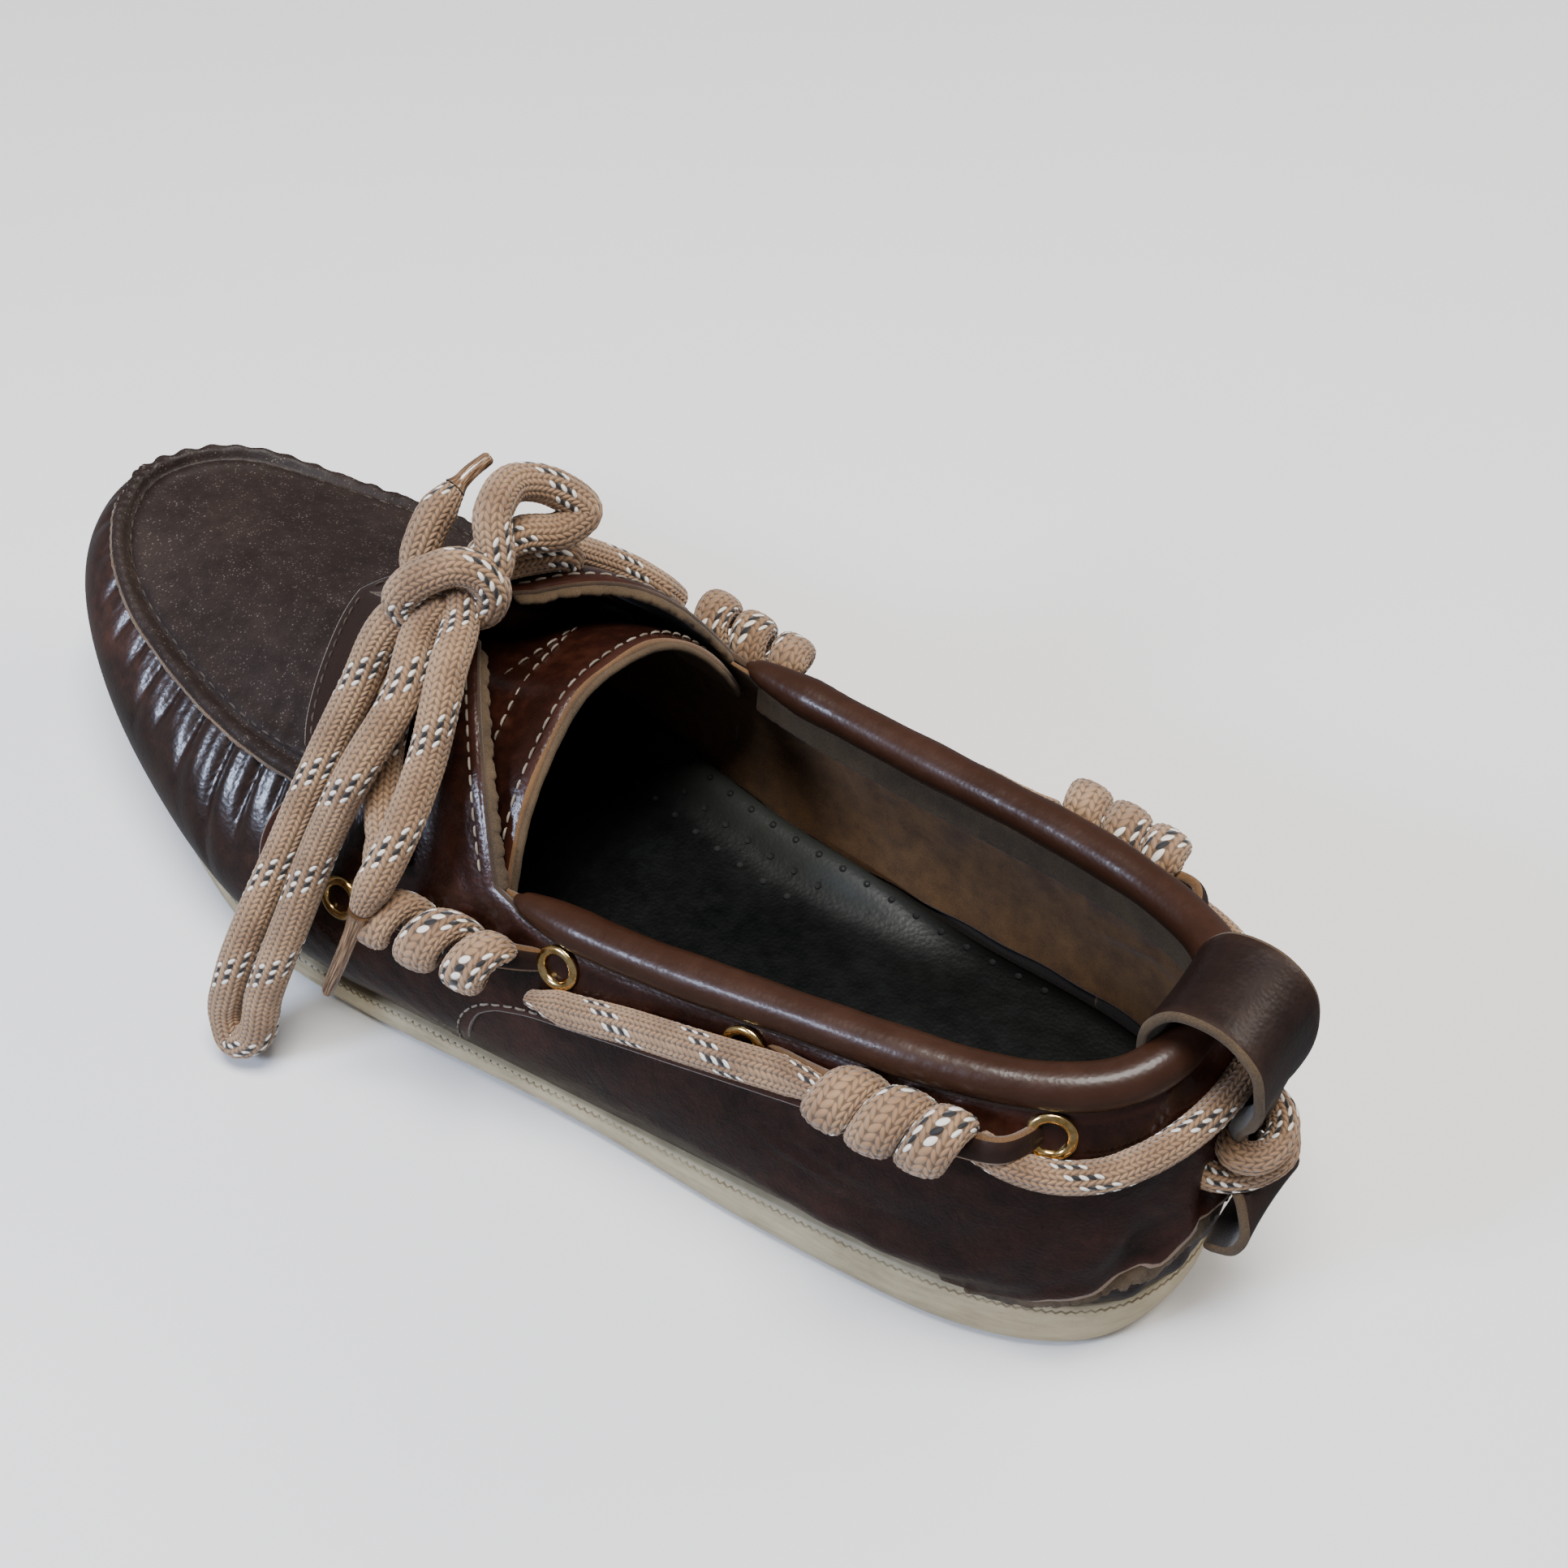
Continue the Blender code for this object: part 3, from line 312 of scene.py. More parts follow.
def linked(name, data):  # an object in the scene
    made = bpy.data.objects.new(name, data)
    bpy.context.scene.collection.objects.link(made)
    return made


# A mesh of quads, then any triangles, from millimetre points. uv has one row a point or a face corner.
def putPiece(name, points, quads, materials, which=None, uv=None, values=None, nodes=(),
             triangles=()):
    quads = np.asarray(quads)
    triangles = np.asarray(triangles, int).reshape(-1, 3)
    corners = np.concatenate([quads.ravel(), triangles.ravel()])
    starts = np.concatenate([np.arange(len(quads)) * 4, quads.size + np.arange(len(triangles)) * 3])
    mesh = bpy.data.meshes.new(name)
    mesh.vertices.add(len(points))
    mesh.vertices.foreach_set("co", toFrame(points).astype(np.float32).ravel())
    mesh.loops.add(len(corners))
    mesh.loops.foreach_set("vertex_index", corners.astype(np.int32))
    mesh.polygons.add(len(starts))
    mesh.polygons.foreach_set("loop_start", starts.astype(np.int32))
    for made in materials:
        mesh.materials.append(made)
    if which is not None:
        mesh.polygons.foreach_set("material_index", np.asarray(which, np.int32))
    if uv is not None:
        uv = uv if len(uv) == len(corners) else uv[corners]
        mesh.uv_layers.new(name="UVMap").data.foreach_set("uv", uv.astype(np.float32).ravel())
    for key, value in (values or {}).items():
        mesh.attributes.new(key, "FLOAT", "POINT").data.foreach_set("value", np.asarray(value, np.float32))
    mesh.polygons.foreach_set("use_smooth", np.ones(len(starts), bool))
    mesh.update(calc_edges=True)
    mesh.validate()
    piece = linked(name, mesh)
    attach(piece, "root")
    if nodes:
        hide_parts(*nodes)
    return piece


def putOutward(name, points, quads, uv, materials, nodes):  # closed quads turned to face out
    piece = putPiece(name, points, quads, materials, uv=uv, nodes=nodes)
    build = bmesh.new()
    build.from_mesh(piece.data)
    bmesh.ops.recalc_face_normals(build, faces=build.faces)
    if build.calc_volume(signed=True) < 0:
        bmesh.ops.reverse_faces(build, faces=build.faces)
    build.to_mesh(piece.data)
    build.free()
    return piece


# Rings along a path, each one's last point on its first, closed to a point at both ends. uv: the turn
# round the tube and the place along it.
def putTube(name, grid, tips, turn, along, tipAlong, material, node):
    rows, columns = grid.shape[:2]
    quads = gridQuads(rows, columns)[:, ::-1]
    uv = np.stack(np.meshgrid(turn, along), -1).reshape(-1, 2)[quads].reshape(-1, 2)
    around = columns - 1
    ring = np.arange(rows * around).reshape(rows, around)
    closed = np.concatenate([ring, ring[:, :1]], 1)
    tip = np.full(around, rows * around)
    fans = np.concatenate([np.stack([ring[0], closed[0, 1:], tip], 1),
                           np.stack([closed[-1, 1:], ring[-1], tip + 1], 1)])
    fanUv = np.zeros((fans.size, 2))
    fanUv[:, 1] = np.repeat(tipAlong, 3 * around)
    points = np.concatenate([grid[:, :-1].reshape(-1, 3), tips])
    return putPiece(name, points, closed.ravel()[quads], [material], uv=np.concatenate([uv, fanUv]),
                    nodes=node, triangles=fans)


def wrapRings(rows, around, closed=False):  # quads round a stack of rings with as many points each
    index = np.arange(rows * around).reshape(rows, around)
    if closed:
        index = np.concatenate([index, index[:1]])
    right = np.roll(index, -1, 1)
    return np.stack([index[:-1], index[1:], right[1:], right[:-1]], -1).reshape(-1, 4)


def roundHeel(run, place):  # rows of points at signed runs, negative on the inner side
    return np.concatenate([place(np.abs(run[use]), side, use)
                           for side, use in ((-1.0, run < 0), (1.0, run >= 0))])


def unwrapGrid(grid):  # millimetres along both directions of a grid, as their means
    steps = [np.linalg.norm(np.diff(grid, axis=k), axis=-1).mean(1 - k) for k in (0, 1)]
    u, v = (np.concatenate([[0], np.cumsum(step)]) for step in steps)
    return np.stack(np.meshgrid(u, v, indexing="ij"), -1)


def welded(patches):  # several grids as one list of points and quads, equal points joined
    quads = []
    start = 0
    for grid in patches:
        quads.append(gridQuads(*grid.shape[:2], start))
        start += grid.shape[0] * grid.shape[1]
    points = np.concatenate([grid.reshape(-1, 3) for grid in patches])
    uv = np.concatenate([unwrapGrid(grid).reshape(-1, 2) for grid in patches])
    keys = np.round(points * 500 + 0.137).astype(np.int64)
    kept, index = np.unique(keys, axis=0, return_index=True, return_inverse=True)[1:]
    quads = index.reshape(-1)[np.concatenate(quads)]
    same = np.stack([quads[:, k] == quads[:, (k + 1) % 4] for k in range(4)], 1).sum(1)
    quads = quads[same <= 1]
    used = np.zeros(len(kept), bool)
    used[quads] = True
    fresh = np.cumsum(used) - 1
    return points[kept][used], fresh[quads], uv[kept][used]


def vertexNormals(points, quads):  # mean of the faces round each point
    a, b, c, d = (points[quads[:, k]] for k in range(4))
    face = np.cross(c - a, d - b)
    total = np.zeros_like(points)
    for k in range(4):
        np.add.at(total, quads[:, k], face)
    return unit(total)


def borderEdges(quads, count):  # directed edges that only one face uses
    start = quads.ravel()
    end = np.roll(quads, -1, 1).ravel()
    real = start != end
    start, end = start[real], end[real]
    alone = ~np.isin(start * count + end, end * count + start)
    return start[alone], end[alone]


def gapTo(points, line):  # distance from each point to the nearest one of a line
    gap = np.zeros(len(points))
    for some in np.array_split(np.arange(len(points)), max(1, len(points) * len(line) // 4_000_000)):
        gap[some] = np.linalg.norm(points[some][:, None] - line[None], axis=-1).min(1)
    return gap


edgeRings = 5         # steps round a cut edge


# Closed leather of one thickness under open grids: the outer face, a rounded cut edge along every
# border, and the flesh side. `relief` moves the outer face, given its points and their distance to
# the border. `outward` says roughly which way is out. Materials: grain side, cut edge, flesh side.
# Gives back the outer face's points.
def leatherPiece(name, patches, thickness, materials, outward, relief=None, nodes=(),
                 edgeBulge=0.5, tone=None):
    points, quads, uv = welded(patches)
    normals = vertexNormals(points, quads)
    if (np.einsum("ij,ij->i", normals, outward(points)) < 0).mean() > 0.5:
        quads = quads[:, ::-1]
        normals = -normals
    start, end = borderEdges(quads, len(points))
    distance = gapTo(points, points[np.unique(start)])
    inner = points - normals * thickness
    if relief is not None:
        points = points + normals * relief(points, distance)[:, None]
    tangent = np.zeros_like(points)
    np.add.at(tangent, start, points[end] - points[start])
    np.add.at(tangent, end, points[end] - points[start])
    away = unit(np.cross(unit(tangent), normals))
    border = np.unique(np.concatenate([start, end]))
    placeOf = np.full(len(points), -1)
    placeOf[border] = np.arange(len(border))
    depth = np.linalg.norm(inner[border] - points[border], axis=-1, keepdims=True)
    allPoints = [points, inner]
    rings = [border]
    for k in range(1, edgeRings):
        turn = math.pi * k / edgeRings
        rings.append(sum(map(len, allPoints)) + np.arange(len(border)))
        allPoints.append(points[border] - normals[border] * depth / 2 * (1 - math.cos(turn))
                         + away[border] * depth * edgeBulge * math.sin(turn)**0.6)
    rings.append(border + len(points))
    first, last = placeOf[start], placeOf[end]
    strips = np.concatenate([np.stack([near[last], near[first], far[first], far[last]], 1)
                             for near, far in zip(rings[:-1], rings[1:])])
    faces = np.concatenate([quads, strips, quads[:, ::-1] + len(points)])
    which = np.repeat([0, 1, 2], [len(quads), len(strips), len(quads)])
    allUv = np.concatenate([uv, uv] + [uv[border]] * (edgeRings - 1))
    edge = np.concatenate([distance, distance, np.zeros(len(border) * (edgeRings - 1))])
    values = {"edgeMm": np.minimum(edge, 40)}
    allPoints = np.concatenate(allPoints)
    if tone is not None:
        values["tone"] = tone(allPoints)
    putPiece(name, allPoints, faces, materials, which, allUv, values, nodes)
    return points


def skyward(points):
    return 0 * points + [0, 0, 1]


def carryFrames(path, facing=None):  # side and up at each point, turned as little as possible
    tangent = unit(np.gradient(path, axis=0))
    if facing is not None:
        side = unit(np.cross(facing, tangent))
        return side, np.cross(tangent, side)
    up = np.zeros_like(path)
    up[0] = unit(np.cross(tangent[0], [0.31, 0.82, 0.48]))
    for i in range(1, len(path)):
        up[i] = unit(up[i - 1] - tangent[i] * np.dot(up[i - 1], tangent[i]))
    return np.cross(up, tangent), up


# half columns round the rope, millimetres a turn, slant and height of a strand
braid = {"columns": 18, "pitch": 22.5, "slant": 0.80, "relief": 0.28, "around": 60, "spacing": 0.5}


def braidHeight(turn, along):  # 0 between the strands to 1 on top of each one
    column = turn * braid["columns"]
    step = braid["pitch"] / braid["columns"]
    whole = np.floor(column)
    lean = np.where(whole % 2 < 0.5, -1.0, 1.0)
    middle = column - whole - 0.5
    row = along / step + lean * (whole + 0.5 + braid["slant"] * middle)
    a = middle * 2
    b = (row % 1.0 - 0.5) * 2
    return np.sqrt(np.clip(1 - 0.9 * a * a, 0, 1)) * np.sqrt(np.clip(1 - 0.85 * b * b, 0, 1))


# Braided rope: a rounded section of `width` by `height` carried along a path in small steps, with the
# strands raised on its surface. UV: turn round the rope, and millimetres along it over 100.
def ropePiece(name, path, width, height, facing=None, begin=0.0, shut=1.4, nodes=()):
    path = np.asarray(path, float)
    if facing is None:
        path = openSpline(path, spacing=braid["spacing"])
    else:
        both = openSpline(np.concatenate([path, np.asarray(facing) * 0.001], 1), spacing=braid["spacing"])
        path = both[:, :3]
        facing = unit(both[:, 3:])
    side, up = carryFrames(path, facing)
    along = travel(path)
    close = np.ones((len(path), 1))
    for far in (along, along[-1] - along):
        close[:, 0] *= np.sqrt(np.clip(1 - (1 - np.clip(far / shut, 0, 1))**2, 0, 1))
    turn = np.linspace(0, 1, braid["around"] + 1)
    bulge = braidHeight(turn[None, :-1], (along + begin)[:, None])
    bulge = np.concatenate([bulge, bulge[:, :1]], 1)
    even = np.linspace(0, 1, len(path))
    half = [np.interp(even, np.linspace(0, 1, np.size(size)), np.atleast_1d(size)) / 2
            for size in (width, height)]
    squareness = np.where(half[0] - half[1] > 1.7, 0.85, 1.0)[:, None]
    lift = (bulge - 0.6) * braid["relief"]
    grid = path[:, None]
    for way, size, wave in ((side, half[0], np.cos), (up, half[1], np.sin)):
        swing = wave(turn * 2 * math.pi)
        swing = np.sign(swing) * np.abs(swing)**squareness
        grid = grid + way[:, None] * ((size[:, None] + lift) * close * swing)[..., None]
    along = (along + begin) / 100
    return putTube(name, grid, path[[0, -1]], turn, along, along[[0, -1]], ropeBraid, nodes), path


# Row of stitches along a line on the leather: each one a short thread, fat in the middle and
# sunk at both ends, made from one small template repeated by array arithmetic.
def stitchRow(name, path, normals, material, length, gap, thread, proud):
    steps = travel(path)
    count = max(1, int(steps[-1] / (length + gap)))
    centre = (np.arange(count) + 0.5) * (steps[-1] / count)
    wobble = np.sin(np.arange(count) * 2.4) * 0.12
    stations = np.array([-0.5, -0.36, 0.0, 0.36, 0.5])
    fat = np.array([0.05, 0.8, 1.0, 0.8, 0.05])
    sink = np.array([-1.1, -0.25, 0.0, -0.25, -1.1])
    at = centre[:, None] + stations[None] * (length * (1 + wobble[:, None]))
    spot = readOff(at, steps, path)
    up = unit(readOff(at, steps, normals))
    side = unit(np.cross(unit(np.gradient(spot, axis=1)), up))
    spot = spot + up * (proud + sink * thread * 0.75)[:, None]
    sides = 6
    angle = (np.arange(sides) * 2 * math.pi / sides)[:, None]
    ring = side[:, :, None] * np.cos(angle) + up[:, :, None] * np.sin(angle)
    points = spot[:, :, None] + ring * (fat * thread / 2)[:, None, None]
    index = np.arange(count * 5 * sides).reshape(count, 5, sides)
    right = np.roll(index, -1, 2)
    quads = np.stack([index[:, :-1], right[:, :-1], right[:, 1:], index[:, 1:]], -1).reshape(-1, 4)
    ends = [index[:, 0, order] for order in ([5, 4, 1, 0], [4, 3, 2, 1])]
    ends += [index[:, -1, order] for order in ([0, 1, 4, 5], [1, 2, 3, 4])]
    return putPiece(name, points.reshape(-1, 3), np.concatenate([quads] + ends), [material])


# Listed creases: each is a soft trough or ridge along a bowed line between two places on the
# leather. Rows: run, share, run, share, width, depth (down is negative), sideways bow, side.
def creaseRelief(points, rows):
    total = np.zeros(len(points))
    for runA, shareA, runB, shareB, width, depth, bow, side in rows:
        a, b = skinAt(np.array([runA, runB]), side, np.array([shareA, shareB]))
        chord = b - a
        reach = np.linalg.norm(chord)
        t = np.clip((points - a) @ chord / reach**2, 0, 1)
        out = skinFrame((runA + runB) / 2, side, (shareA + shareB) / 2)[1]
        sway = np.cross(out, chord / reach)
        gap = points - a - t[:, None] * chord - sway * (bow * 4 * t * (1 - t))[:, None]
        near = np.linalg.norm(gap - out * (gap @ out)[:, None] * 0.6, axis=1)
        fade = np.sin(math.pi * np.clip(t, 0.02, 0.98))**0.6
        banks = 0.35 * np.exp(-((near - 1.9 * width) / width)**2)
        total += depth * fade * (np.exp(-(near / width)**2) - banks)
    return total


def bothSides(rows):  # the same creases on the outer and the inner side
    return [(*row, way * bow, way) for *row, bow in rows for way in (1, -1)]


# finishes


def shade(code):  # sRGB hex to linear
    parts = [int(code[k:k + 2], 16) / 255 for k in (1, 3, 5)]
    return (*[p / 12.92 if p <= 0.04045 else ((p + 0.055) / 1.055)**2.4 for p in parts], 1.0)


def fillNode(tree, node, settings):  # a socket is linked and any other value is set
    for key, value in settings.items():
        if key == "stops":
            ramp = node.color_ramp
            while len(ramp.elements) < len(value):
                ramp.elements.new(0.5)
            for stop, (place, code) in zip(ramp.elements, value):
                stop.position = place
                stop.color = shade(code)
        elif isinstance(value, bpy.types.NodeSocket):
            tree.links.new(value, node.inputs[key])
        elif isinstance(key, int) or key in node.inputs:
            node.inputs[key].default_value = value
        else:
            setattr(node, key, value)


def addNode(tree, kind, settings, output=0):
    node = tree.nodes.new("ShaderNode" + kind)
    fillNode(tree, node, settings)
    return node.outputs[output]


def newFinish(name):  # material, its node tree and the object's own coordinates
    made = bpy.data.materials.new(name)
    made.use_nodes = True
    return made, made.node_tree, addNode(made.node_tree, "TexCoord", {}, "Object")


def finished(made, settings):  # what the nodes give goes into the material's surface
    fillNode(made.node_tree, made.node_tree.nodes["Principled BSDF"], settings)
    return made


# Waxed pull-up leather, drum dyed and hand rubbed: a dark face that goes lighter and redder where it
# is stretched or rubbed, fine hair-cell grain, small scuffs, and a soft wax shine.
def pullUpLeather(name, dark, mid, light, rough, grainMm=0.9, grain=0.25, coat=0.3, paintedGlint=0.0, wrinkle=0.15,
                  specular=0.3, other=None):
    made, tree, place = newFinish(name)
    cloudy = addNode(tree, "TexNoise", {"Scale": 1000 / 26, "Detail": 4.0, "Roughness": 0.62,
                                        "Vector": place}, "Fac")
    fine = addNode(tree, "TexNoise", {"Scale": 1000 / 3.2, "Detail": 5.0, "Roughness": 0.7,
                                      "Vector": place}, "Fac")
    blend = addNode(tree, "Mix", {"data_type": "FLOAT", 0: 0.35, 2: cloudy, 3: fine})
    tint = addNode(tree, "ValToRGB", {"stops": [(0.36, dark), (0.52, mid), (0.72, light)], 0: blend})
    edge = addNode(tree, "Attribute", {"attribute_name": "edgeMm"}, "Fac")
    worn = addNode(tree, "MapRange", {"Value": edge, "From Min": 0.2, "From Max": 2.2, "To Min": 0.55,
                                      "To Max": 0.0})
    colour = addNode(tree, "Mix", {"data_type": "RGBA", 0: worn, 6: tint, 7: shade(light)}, 2)
    if other:
        tone = addNode(tree, "Attribute", {"attribute_name": "tone"}, "Fac")
        colour = addNode(tree, "Mix", {"data_type": "RGBA", 0: tone, 6: colour, 7: shade(other)}, 2)
    # painted glint: pale grey specks mixed patchily into the colour, standing for tiny sparkles of light
    if paintedGlint > 0:
        dots = addNode(tree, "TexVoronoi", {"feature": "F1", "Scale": 1000 / 0.75, "Randomness": 1.0,
                                            "Vector": place}, "Distance")
        glint = addNode(tree, "MapRange", {"Value": dots, "From Min": 0.10, "From Max": 0.30,
                                           "To Min": 1.0, "To Max": 0.0})
        patchy = addNode(tree, "MapRange", {"Value": fine, "From Min": 0.42, "From Max": 0.70})
        seen = addNode(tree, "Math", {"operation": "MULTIPLY", 0: glint, 1: patchy})
        some = addNode(tree, "Math", {"operation": "MULTIPLY", 0: seen, 1: paintedGlint})
        colour = addNode(tree, "Mix", {"data_type": "RGBA", 0: some, 6: colour, 7: shade("#8d837c")}, 2)
    creases = addNode(tree, "TexNoise", {"Scale": 1000 / 7, "Detail": 7.0, "Roughness": 0.68,
                                         "Distortion": 1.2, "Vector": place}, "Fac")
    cells = addNode(tree, "TexVoronoi", {"feature": "SMOOTH_F1", "Scale": 1000 / grainMm,
                                         "Smoothness": 0.35, "Vector": place}, "Distance")
    low = addNode(tree, "Bump", {"Strength": wrinkle, "Distance": 0.0012, "Height": creases})
    high = addNode(tree, "Bump", {"Strength": grain, "Distance": 0.00025, "Height": cells, "Normal": low})
    shine = addNode(tree, "MapRange", {"Value": blend, "From Min": 0.3, "From Max": 0.7,
                                       "To Min": rough * 0.78, "To Max": rough * 1.3})
    return finished(made, {"Base Color": colour, "Roughness": shine, "Specular IOR Level": specular,
                           "Coat Weight": coat, "Coat IOR": 1.38, "Coat Roughness": 0.16,
                           "Normal": high, "Coat Normal": high})


# Flesh side and cut edge of the same hide: short matt nap, brown, a little fuzzy.
def suedeFinish(name, dark, light, patchMm=14, sheen=0.25):
    made, tree, place = newFinish(name)
    soft = addNode(tree, "TexNoise", {"Scale": 1000 / patchMm, "Detail": 5.0, "Roughness": 0.6,
                                      "Vector": place}, "Fac")
    nap = addNode(tree, "TexNoise", {"Scale": 1000 / 0.35, "Detail": 3.0, "Roughness": 0.7,
                                     "Vector": place}, "Fac")
    blend = addNode(tree, "Mix", {"data_type": "FLOAT", 0: 0.45, 2: soft, 3: nap})
    tint = addNode(tree, "ValToRGB", {"stops": [(0.32, dark), (0.68, light)], 0: blend})
    bump = addNode(tree, "Bump", {"Strength": 0.55, "Distance": 0.0003, "Height": nap})
    return finished(made, {"Base Color": tint, "Roughness": 0.95, "Sheen Weight": sheen,
                           "Sheen Roughness": 0.5, "Normal": bump})


# Braided polyester boot lace: matt spun strands, with a tracer of near white and black ones among the
# tan. The same arithmetic as braidHeight, so that every colour fills a raised strand.
def braidFinish(name, tan, tanDark, pale, black):
    made, tree, place = newFinish(name)
    columns = float(braid["columns"])
    uv = addNode(tree, "UVMap", {"uv_map": "UVMap"})
    turn, along = (addNode(tree, "SeparateXYZ", {0: uv}, k) for k in (0, 1))
    column = addNode(tree, "Math", {"operation": "MULTIPLY", 0: turn, 1: columns})
    step = addNode(tree, "Math", {"operation": "MULTIPLY", 0: along, 1: 100 * columns / braid["pitch"]})
    whole = addNode(tree, "Math", {"operation": "FLOOR", 0: column})
    odd = addNode(tree, "Math", {"operation": "FLOORED_MODULO", 0: whole, 1: 2.0})
    lean = addNode(tree, "MapRange", {"Value": odd, "To Min": -1.0, "To Max": 1.0})
    across = addNode(tree, "Math", {"operation": "FRACT", 0: column})
    middle = addNode(tree, "Math", {"operation": "SUBTRACT", 0: across, 1: 0.5})
    slanted = addNode(tree, "Math", {"operation": "MULTIPLY_ADD", 0: middle, 1: braid["slant"], 2: 0.5})
    slanted = addNode(tree, "Math", {"operation": "ADD", 0: whole, 1: slanted})
    row = addNode(tree, "Math", {"operation": "MULTIPLY_ADD", 0: lean, 1: slanted, 2: step})
    strand = addNode(tree, "Math", {"operation": "FLOOR", 0: row})
    strand = addNode(tree, "Math", {"operation": "FLOORED_MODULO", 0: strand, 1: columns})
    # squared distance from the middle of each oval: 0 at its middle, 1 at its outline
    squares = {}
    for key, part in enumerate((across, addNode(tree, "Math", {"operation": "FRACT", 0: row}))):
        centred = addNode(tree, "Math", {"operation": "MULTIPLY_ADD", 0: part, 1: 2.0, 2: -1.0})
        squares[key] = addNode(tree, "Math", {"operation": "MULTIPLY", 0: centred, 1: centred})
    oval = addNode(tree, "Math", {"operation": "ADD", **squares})
    height = addNode(tree, "MapRange", {"Value": oval, "From Max": 1.25, "To Min": 1.0, "To Max": 0.0})
    # tracer strands 0, 2 and 4 are pale and 1 and 3 black, in the columns that lean one way
    tracer = addNode(tree, "Math", {"operation": "LESS_THAN", 0: strand, 1: 4.5})
    even = addNode(tree, "Math", {"operation": "LESS_THAN", 0: odd, 1: 0.5})
    tracer = addNode(tree, "Math", {"operation": "MULTIPLY", 0: tracer, 1: even})
    inOval = addNode(tree, "MapRange", {"Value": oval, "From Min": 0.80, "From Max": 1.05, "To Min": 1.0,
                                        "To Max": 0.0})
    tracer = addNode(tree, "Math", {"operation": "MULTIPLY", 0: tracer, 1: inOval})
    isBlack = addNode(tree, "Math", {"operation": "FLOORED_MODULO", 0: strand, 1: 2.0})
    ticks = addNode(tree, "Mix", {"data_type": "RGBA", 0: isBlack, 6: shade(pale), 7: shade(black)}, 2)
    worn = addNode(tree, "TexNoise", {"Scale": 1000 / 9, "Detail": 4.0, "Vector": place}, "Fac")
    base = addNode(tree, "ValToRGB", {"stops": [(0.35, tanDark), (0.65, tan)], 0: worn})
    colour = addNode(tree, "Mix", {"data_type": "RGBA", 0: tracer, 6: base, 7: ticks}, 2)
    # painted shade: the colour darkens toward the low parts between the strands
    deep = addNode(tree, "MapRange", {"Value": height, "From Max": 0.45, "To Min": 0.34})
    shadow = addNode(tree, "Mix", {"data_type": "RGBA", "blend_type": "MULTIPLY", 0: 1.0, 6: colour,
                                   7: deep}, 2)
    yarn = addNode(tree, "TexNoise", {"Scale": 1000 / 0.3, "Detail": 2.0, "Vector": place}, "Fac")
    low = addNode(tree, "Bump", {"Strength": 0.8, "Distance": 0.0004, "Height": height})
    high = addNode(tree, "Bump", {"Strength": 0.25, "Distance": 0.0001, "Height": yarn, "Normal": low})
    return finished(made, {"Base Color": shadow, "Roughness": 0.72, "Sheen Weight": 0.3,
                           "Sheen Roughness": 0.45, "Normal": high})


# Moulded crepe-look rubber, cream, satin, with faint handling dirt and rub marks along its length.
def rubberFinish(name):
    made, tree, place = newFinish(name)
    dirt = addNode(tree, "TexNoise", {"Scale": 1000 / 18, "Detail": 6.0, "Roughness": 0.65,
                                      "Vector": place}, "Fac")
    long = addNode(tree, "Mapping", {"Scale": (1.0, 1.0, 7.0), "Vector": place})
    rub = addNode(tree, "TexNoise", {"Scale": 1000 / 9, "Detail": 5.0, "Roughness": 0.7,
                                     "Vector": long}, "Fac")
    blend = addNode(tree, "Mix", {"data_type": "FLOAT", 0: 0.5, 2: dirt, 3: rub})
    stops = [(0.30, "#86795d"), (0.48, "#a5987b"), (0.70, "#bbae91")]
    tint = addNode(tree, "ValToRGB", {"stops": stops, 0: blend})
    shine = addNode(tree, "MapRange", {"Value": blend, "From Min": 0.3, "From Max": 0.7, "To Min": 0.42,
                                       "To Max": 0.66})
    fine = addNode(tree, "TexNoise", {"Scale": 1000 / 0.6, "Detail": 3.0, "Vector": place}, "Fac")
    bump = addNode(tree, "Bump", {"Strength": 0.25, "Distance": 0.0002, "Height": fine})
    return finished(made, {"Base Color": tint, "Roughness": shine, "Normal": bump})


# Brass eyelet, gold plated and tumbled: bright, with very fine marks.
def goldFinish(name):
    made, tree, place = newFinish(name)
    marks = addNode(tree, "TexNoise", {"Scale": 1000 / 1.6, "Detail": 4.0, "Vector": place}, "Fac")
    tint = addNode(tree, "ValToRGB", {"stops": [(0.35, "#cda55f"), (0.65, "#eed095")], 0: marks})
    shine = addNode(tree, "MapRange", {"Value": marks, "To Min": 0.10, "To Max": 0.28})
    return finished(made, {"Base Color": tint, "Metallic": 1.0, "Roughness": shine})


# Waxed linen thread: pale grey-beige, matt, dirtied by the leather.
def threadFinish(name, pale, dull):
    made, tree, place = newFinish(name)
    worn = addNode(tree, "TexNoise", {"Scale": 1000 / 5, "Detail": 4.0, "Vector": place}, "Fac")
    tint = addNode(tree, "ValToRGB", {"stops": [(0.38, dull), (0.62, pale)], 0: worn})
    return finished(made, {"Base Color": tint, "Roughness": 0.8})


# Clear acetate film shrunk round the rope's end: the fibres show through as fine streaks.
def tipFinish(name):
    made, tree, _ = newFinish(name)
    uv = addNode(tree, "UVMap", {"uv_map": "UVMap"})
    long = addNode(tree, "Mapping", {"Scale": (34.0, 3.0, 1.0), "Vector": uv})
    fibre = addNode(tree, "TexNoise", {"Scale": 1.0, "Detail": 3.0, "Vector": long}, "Fac")
    stops = [(0.34, "#35241a"), (0.5, "#6c5038"), (0.68, "#a3876a")]
    tint = addNode(tree, "ValToRGB", {"stops": stops, 0: fibre})
    bump = addNode(tree, "Bump", {"Strength": 0.3, "Distance": 0.0002, "Height": fibre})
    return finished(made, {"Base Color": tint, "Roughness": 0.22, "Coat Weight": 0.8,
                           "Coat Roughness": 0.08, "Normal": bump})


